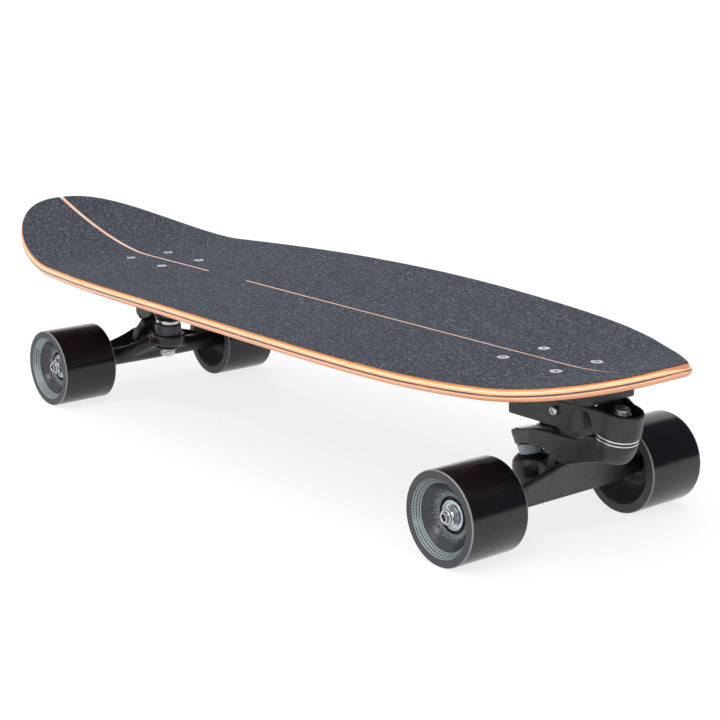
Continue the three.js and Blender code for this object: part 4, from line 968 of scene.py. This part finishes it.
def make_kingpin(truck, head_seat, nut_seat, end, upper, lower, dish, saucer, rubber):
    """The kingpin, its head and nut, bushings and cup washers; heights count from the ring's middle."""
    seat = hangers[truck] @ Seat(RING)
    body = carriers[truck]
    corners = [[0, head_seat], [8, head_seat], [8, head_seat + 5.2], [7.3, head_seat + 6], [0, head_seat + 6]]
    head = turned(corners, 0.3, seat, 72, hexagon(14.2))
    pin = revolved(threaded(4.7, end, head_seat + 0.5, pitch=1.25, depth=0.25), seat, 40)
    add(f"{truck}_kingpin_bolt", [pin, head], body, "steel", STEEL, f"{truck}_kingpin")
    nut = locknut(14.3, 4.9, 0, 5.7, seat @ Seat((0, 0, nut_seat), UPSIDE_DOWN))
    add(f"{truck}_kingpin_locknut", [nut], body, "steel", STEEL, f"{truck}_kingpin_nut")
    cushions = (("upper", upper, rubber, "bushing"), ("lower", lower, BLACK_RUBBER, "pad"))
    for name, rows, finish, slot in cushions:
        cushion = turned([*rows, [5.1, rows[-1][1]], [5.1, rows[0][1]], rows[0]], 0.8, seat, 80, steps=4)
        piece = add(f"{truck}_{name}_cushion", [cushion], None, slot, finish, f"{truck}_{name}_bushing")
        start, end_at = (tuple(seat(np.array([0, 0, h], float)) * MM) for h in (rows[0][1], rows[-1][1]))
        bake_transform(piece)
    for name, rows in (("upper", dish), ("lower", saucer)):
        cup = turned([*rows, rows[0]], 0.4, seat, 80)
        add(f"{truck}_{name}_cup", [cup], body, "steel", STEEL, f"{truck}_{name}_cup_washer")


def make_pivot_cup(truck):
    """The soft cup that holds the tip of the hanger's stem."""
    seat = hangers[truck] @ Seat(PIVOT, looking(STEERING))
    profile = [[0, 5.9], [3.3, 5.9], [5.9, 2.2], [5.9, -1.6], [6.9, -1.6], [6.9, 3.0], [4.4, 7.4], [0, 7.4]]
    cup = turned(profile, 0.4, seat, 48)
    add(f"{truck}_stem_cup", [cup], carriers[truck], "pad", BLACK_RUBBER, f"{truck}_pivot_cup")


def arm_beam():
    """The arm's long part: rectangles along X with rounded corners; half width, top and bottom follow x.

    A ring's points are the four corners, each drawn in by the edge radius e, plus (e cos a, e sin a).
    """
    x = np.linspace(-33, 57, 61)
    half = np.interp(x, [-33, -14, 10, 34.8, 46, 57], [12.5, 16.8, 17.1, 16.9, 15.2, 13.1])
    top = np.interp(x, [-34, -9.5, 2, 30, 36, 41, 57], [37.6, 44.6, 45.4, 45.5, 46.8, 50.8, 50.8])
    low_x = [-33, -31, -24, -14, -2, 5, 9, 12, 16, 20, 28, 43, 53, 57]
    low_z = [26.4, 26.6, 29.6, 31.4, 31.3, 30.2, 28.4, 26.6, 24.8, 23.9, 26.0, 30.5, 32.4, 33.0]
    low = np.interp(x, low_x, low_z)
    blur = np.ones(3) / 3
    half, top, low = (np.convolve(np.pad(v, 1, "edge"), blur, "valid") for v in (half, top, low))
    edge = 1.3
    angle = np.linspace(0, TURN, 24, endpoint=False) + TURN / 48
    right, over = np.sign(np.cos(angle)), np.sign(np.sin(angle))
    y = (half[:, None] - edge) * right + edge * np.cos(angle)
    z = ((top + low) / 2)[:, None] + ((top - low) / 2 - edge)[:, None] * over + edge * np.sin(angle)
    return capped(np.stack([np.repeat(x[:, None], angle.size, axis=1), y, z], axis=-1), front_truck)


def make_arm():
    """The swivelling arm: a boss over the kingpin, a long beam and a barrel round the swivel bolt."""
    ring = hangers["front"] @ Seat(RING)
    boss = turned([[0, 16.5], [10.9, 16.5], [12.5, 26.6], [11.8, 28.0], [0, 28.0]], 0.6, ring, 80)
    bell = [[0, -18], [10.6, -18], [13.6, -13.5], [15.1, -8], [15.5, -4], [14.9, -2.35], [0, -2.35]]
    barrel = turned(bell, 2.0, swivel, 96, steps=5)
    bolt_room = revolved([[0, -23], [8.3, -23], [8.3, -13.7], [5.3, -13.7], [5.3, 3], [0, 3]], swivel, 48)
    above = revolved(rod(17.5, -2.3, 18), swivel, 80)
    channel = slab(rounded(mirrored([[-21, 6.5], [1, 6.5]]), 2, 1.0), 38, 60, front_truck, 0.6)
    pin = pin_room("front", 9.9, seat_height=17.9, head_seat=22.6)
    cutters = [pivot_pocket("front"), pin, bolt_room, above, channel]
    obj = cast("front_swing_arm", [arm_beam(), boss, barrel], cutters, grain=0.75, ease=3)
    post = swept([[SPRING_POST[0], 0, h] for h in (36, 41, 45.5)], 2.4, front_truck)
    fitted(joined_with(obj, [post]), "front_arm", "casting", FRONT_COAT, "swivel_arm")


def shoulder(x, y):
    """The housing's top: level under the flange, then a fall of 0.1944 of x along the barrel's rim."""
    return np.minimum(74.4, 70.62 - 0.1944 * (x - 60.46))


def make_front_base():
    """The front base: a flange under the deck, a walled housing, and a barrel with a well for the nut."""
    half = [[-27.75, 26], [20, 26], [29, 26], [36, 25.4], [43, 23], [50, 19.5], [56, 16.6], [60, 15.8]]
    walls = slab(rounded(mirrored(half), 2.5, 1.4), 54, shoulder, front_truck, 1.2)
    tower = [[0, 1.85], [15.7, 1.85], [16.6, 3.4], [16.5, 8], [16, 19.6], [15.4, 20.5], [0, 20.5]]
    barrel = turned(tower, 0.8, swivel, 96)
    well = turned([[0, -6], [7.8, -6], [7.8, 11.55], [14.0, 11.55], [14.2, 24], [0, 24]], 0.4, swivel, 80)
    mouth = mirrored([[44, 16], [50, 15.6], [55, 14.8], [60, 14.2]])
    opening = slab(rounded(mouth, 1.5, 1.4), 64, 90, front_truck, 0.3)
    under = revolved(rod(16.1, -6, 1.85), swivel, 80)
    hollow = mirrored([[-22.75, 21], [0, 21], [6, 13], [30, 13]])
    pocket = slab(rounded(hollow, 2.5, 1.5), 0, 70.5, front_truck, 1.0)
    heights, widths = (40, 60, 65, 69.3, 71.5), (9.8, 9.8, 9.2, 7.0, 2.0)
    paths = [[[43.5, s * 26.8, h] for h in heights] for s in (-1, 1)]
    flutes = [swept(path, widths, front_truck, 48, (1, 0, 0)) for path in paths]
    pin_hole = revolved(rod(2.8, -29, 29), front_truck @ Seat(ANCHOR, looking((0, 1, 0))), 32)
    cutters = [pocket, well, opening, under, *flutes, pin_hole]
    obj = cast("front_base_housing", [walls, barrel], cutters, grain=0.8, ease=3)
    plate = mirrored([[-46.75, 26], [-44.75, 28], [42.25, 28], [51.75, 22]])
    flange = slab(rounded(plate, 2.5, 1.6, 5), 74.5, TRUCK_TOP, front_truck, 0.9)
    fitted(joined_with(obj, [flange]), "board", "casting", FRONT_COAT, "front_base")
    dome = [[0, -1.6], [1.1, -1.6], [1.6, -0.6], [1.7, 1.6], [0, 1.6]]
    studs = [turned(dome, 0.4, Seat((351.5, s * 15.6, 109.6)), 24) for s in (-1, 1)]
    add("front_base_studs", studs, "board", "steel", STEEL)


def make_swivel():
    """What turns in the barrel: bolt, nut and washer, the thrust bearing and the bush."""
    corners = [[0, -17.4], [7.6, -17.4], [8.2, -16.8], [8.2, -14], [0, -14]]
    head = turned(corners, 0.3, swivel, 72, hexagon(14.4))
    shank = revolved(threaded(4.0, -14.2, 21.6, pitch=1.25, depth=0.25), swivel, 40)
    add("swivel_shank", [head, shank], "front_arm", "steel", STEEL, "swivel_bolt")
    nut = locknut(13, 4.3, 13.05, 8.4, swivel)
    washer = ring_piece(4.4, 8.5, 11.85, 13.05, swivel)
    add("swivel_locknut", [nut, washer], "front_arm", "steel", PALE_STEEL, "swivel_nut")
    upper = ring_piece(6.3, 15.6, 0.3, 1.75, swivel, 0.5)
    lower = ring_piece(6.3, 15.6, -2.25, -0.95, swivel, 0.5)
    add("upper_thrust_ring", [upper], "board", "steel", STEEL, "thrust_washer_upper")
    add("lower_thrust_ring", [lower], "front_arm", "steel", STEEL, "thrust_washer_lower")
    cage = ring_piece(6.3, 15.0, -0.8, 0.15, swivel, 0.2)
    bush = ring_piece(5.3, 7.5, 2.15, 11.25, swivel)
    add("needle_cage", [cage], "front_arm", "dark_steel", DARK_STEEL, "thrust_cage")
    add("swivel_bush", [bush], "board", "steel", STEEL, "swivel_bearing")


def make_spring():
    """The return spring: a wire on the helix (r cos a, r sin a, h); r falls to 0 over a 24th at each end."""
    start, end = np.array(ANCHOR), np.array(SPRING_POST)
    coils, steps = 12, 24
    length = np.linalg.norm(end - start)
    t = np.linspace(0, 1, coils * steps + 1)
    radius = 3.9 * np.minimum(1, np.minimum(t, 1 - t) * 24)
    angle = TURN * coils * t
    height = 4.0 + t * (length - 8.1)
    path = np.stack([radius * np.cos(angle), radius * np.sin(angle), height], axis=1)
    path = np.concatenate([[[0, 0, 2.7]], path, [[0, 0, length - 2.8]]])
    seat = front_truck @ Seat(start, looking(end - start))
    coil = swept(path, 0.75, seat, 10, (0.31, 0.2, 0.93))
    piece = add("arm_return_coil", [coil], None, "dark_steel", DARK_STEEL, "return_spring", crease=60)
    tuple(seat(np.array([0, 0, 3.0])) * MM)
    tuple(seat(np.array([0, 0, length - 3])) * MM)
    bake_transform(piece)
    across = front_truck @ Seat(ANCHOR, looking((0, -1, 0)))
    corners = [[0, 26.3], [3.4, 26.3], [3.4, 28.2], [2.6, 29.3], [1.7, 29.3], [1.6, 27.6], [0, 27.6]]
    head = turned(corners, 0.4, across, 48)
    shank = revolved(threaded(2.45, -21.7, 26.2, pitch=0.8, depth=0.12), across, 32)
    add("spring_anchor_bolt", [head, shank], "board", "steel", STEEL, "spring_bolt")


def make_rear_base():
    """The rear base: a plate under the deck and a pedestal that holds the kingpin and the stem's cup."""
    plate = rounded(mirrored([[-61, 22], [-55, 28], [14, 28], [20, 22]]), 4, 1.8, 5)
    foot = slab(plate, 65, 71, rear_truck, 1.2)
    side = [[-34, 48.5], [-20, 44], [-6, 33], [4, 31], [12, 30.5], [17, 32], [19, 36], [14, 68], [-46, 68]]
    block = slab(rounded(side, 4, 1.4, 5), -8.6, 8.6, rear_truck @ Seat(turn=SIDEWAYS), 1.8)
    ring = hangers["rear"] @ Seat(RING)
    boss = turned([[0, 21.8], [10.5, 21.8], [10.8, 23.4], [14.5, 26.5], [14.5, 52], [0, 52]], 0.8, ring, 80)
    above = revolved(rod(80, 0, 40), rear_truck @ Seat((0, 0, 71.0)), 24)
    cutters = [pivot_pocket("rear"), pin_room("rear", 12.4, seat_height=21.8, head_seat=30.9), above]
    obj = cast("rear_base_casting", [foot, block, boss], cutters)
    fitted(obj, "board", "casting", REAR_COAT, "rear_baseplate")
    pad = slab(plate, 71.3, TRUCK_TOP, rear_truck, 0.8)
    add("rear_riser_pad", [pad], "board", "pad", BLACK_RUBBER, "rear_riser")


make_deck()
make_grip()
make_bolts()
for truck in ("front", "rear"):
    make_wheel(truck, "left", 1)
    make_wheel(truck, "right", -1)
for truck, coat in (("front", FRONT_COAT), ("rear", REAR_COAT)):
    make_axle(truck)
    make_hanger(truck, coat)
    make_pivot_cup(truck)
make_kingpin(
    "front",
    head_seat=22.6,
    nut_seat=-12.3,
    end=-20,
    upper=[[8.4, 2.3], [8.7, 8.0], [9.9, 15.4], [9.5, 16.2]],
    lower=[[9.6, -2.3], [9.4, -6.0], [8.0, -9.2], [7.4, -9.7]],
    dish=[[5.1, 16.4], [9.2, 16.4], [9.4, 17.0], [9.2, 17.6], [5.1, 17.6]],
    saucer=[[5.1, -12], [6.6, -12], [9.1, -10.6], [9.1, -9.6], [8.4, -9.8], [7.4, -10.1], [5.1, -10.1]],
    rubber=GREY_RUBBER,
)
rear_dish = [[5.1, 18.2], [10.2, 18.2], [10.7, 19.6], [10.8, 21.4]]
rear_dish += [[11.5, 21.4], [11.5, 19.0], [10.7, 17.6], [5.1, 17.6]]
make_kingpin(
    "rear",
    head_seat=31.2,
    nut_seat=-8.8,
    end=-15.5,
    upper=[[12.4, 2.3], [12.6, 7.6], [12.3, 9.0], [12.6, 12.6], [12.4, 16.6], [11.6, 17.4]],
    lower=[[9.9, -0.8], [9.9, -3.0], [9.6, -5.6], [8.6, -6.5]],
    dish=rear_dish,
    saucer=[[5.1, -8.5], [7.5, -8.5], [10.0, -7.5], [10.0, -6.7], [8.6, -6.8], [5.1, -6.8]],
    rubber=DARK_RUBBER,
)
make_arm()
make_front_base()
make_swivel()
make_spring()
make_rear_base()


# Studio -----------------------------------------------------------------


def make_floor():
    """A pale disc that the wheels stand on, so wide that it fills the view behind the board too."""
    floor = made("studio_floor", [revolved(rod(12000, -40, 0), None, 96)])
    recipe = Recipe("floor_paper", Roughness=0.9, Specular_IOR_Level=0.1, Emission_Strength=1.0)
    speck = recipe.noise(recipe.place(), 0.01, 2.0)
    paper = recipe.mix(speck, paint(246, 246, 247), paint(249, 249, 249))
    seen = recipe.seen()
    shade = recipe.mix(seen, paper, (0.27, 0.27, 0.27, 1.0))
    glow = recipe.mix(seen, (0.0, 0.0, 0.0, 1.0), (0.78, 0.78, 0.78, 1.0))
    floor.data.materials.append(recipe.finished(Base_Color=shade, Emission_Color=glow))


def make_light():
    """A white room with a dark wall low on the board's left side, and two suns over its right side."""
    world = bpy.data.worlds.new("studio_light")
    bpy.context.scene.world = world
    recipe = Recipe(world)
    x, y, z = recipe.parts_of(recipe.node("ShaderNodeTexCoord").outputs["Generated"])
    wall = x.ramp(-0.42, -0.3) * y.ramp(0.22, 0.36) * z.ramp(0.86, 0.76)
    recipe.finished(Color=recipe.mix(wall, (1.0, 1.0, 1.0, 1.0), (0.12, 0.125, 0.15, 1.0)))
    lamps = {"overhead_lamp": ((0.3, -0.5, 1.0), 0.7, 50), "side_lamp": ((0.08, -0.88, 0.46), 0.45, 14)}
    for name, (direction, energy, angle) in lamps.items():
        lamp = bpy.data.lights.new(name, "SUN")
        lamp.energy = energy
        lamp.angle = math.radians(angle)
        obj = bpy.data.objects.new(name, lamp)
        obj.rotation_mode = "QUATERNION"
        obj.rotation_quaternion = Vector(direction).to_track_quat("Z", "Y")
        bpy.context.scene.collection.objects.link(obj)


def make_camera():
    """The photograph's view: round by 51.44 degrees, up by 14.12, tipped by half a degree."""
    azimuth, elevation, roll = math.radians(51.44), math.radians(14.12), math.radians(-0.51)
    flat = math.cos(elevation)
    back = np.array([math.sin(azimuth) * flat, -math.cos(azimuth) * flat, math.sin(elevation)])
    level = np.array([math.cos(azimuth), math.sin(azimuth), 0])
    upright = np.cross(back, level)
    right = level * math.cos(roll) + upright * math.sin(roll)
    up = np.cross(back, right)
    at = np.array([1154.04, -863.88, 433.81]) * MM
    data = bpy.data.cameras.new("photo_camera")
    data.sensor_width = 36
    data.lens = 86.66
    data.clip_start, data.clip_end = 0.05, 200
    camera = bpy.data.objects.new("photo_camera", data)
    bpy.context.scene.collection.objects.link(camera)
    camera.matrix_world = Matrix([[right[k], up[k], back[k], at[k]] for k in range(3)] + [[0, 0, 0, 1]])
    bpy.context.scene.camera = camera


make_floor()
make_light()
make_camera()
bpy.context.scene.view_settings.view_transform = "Standard"
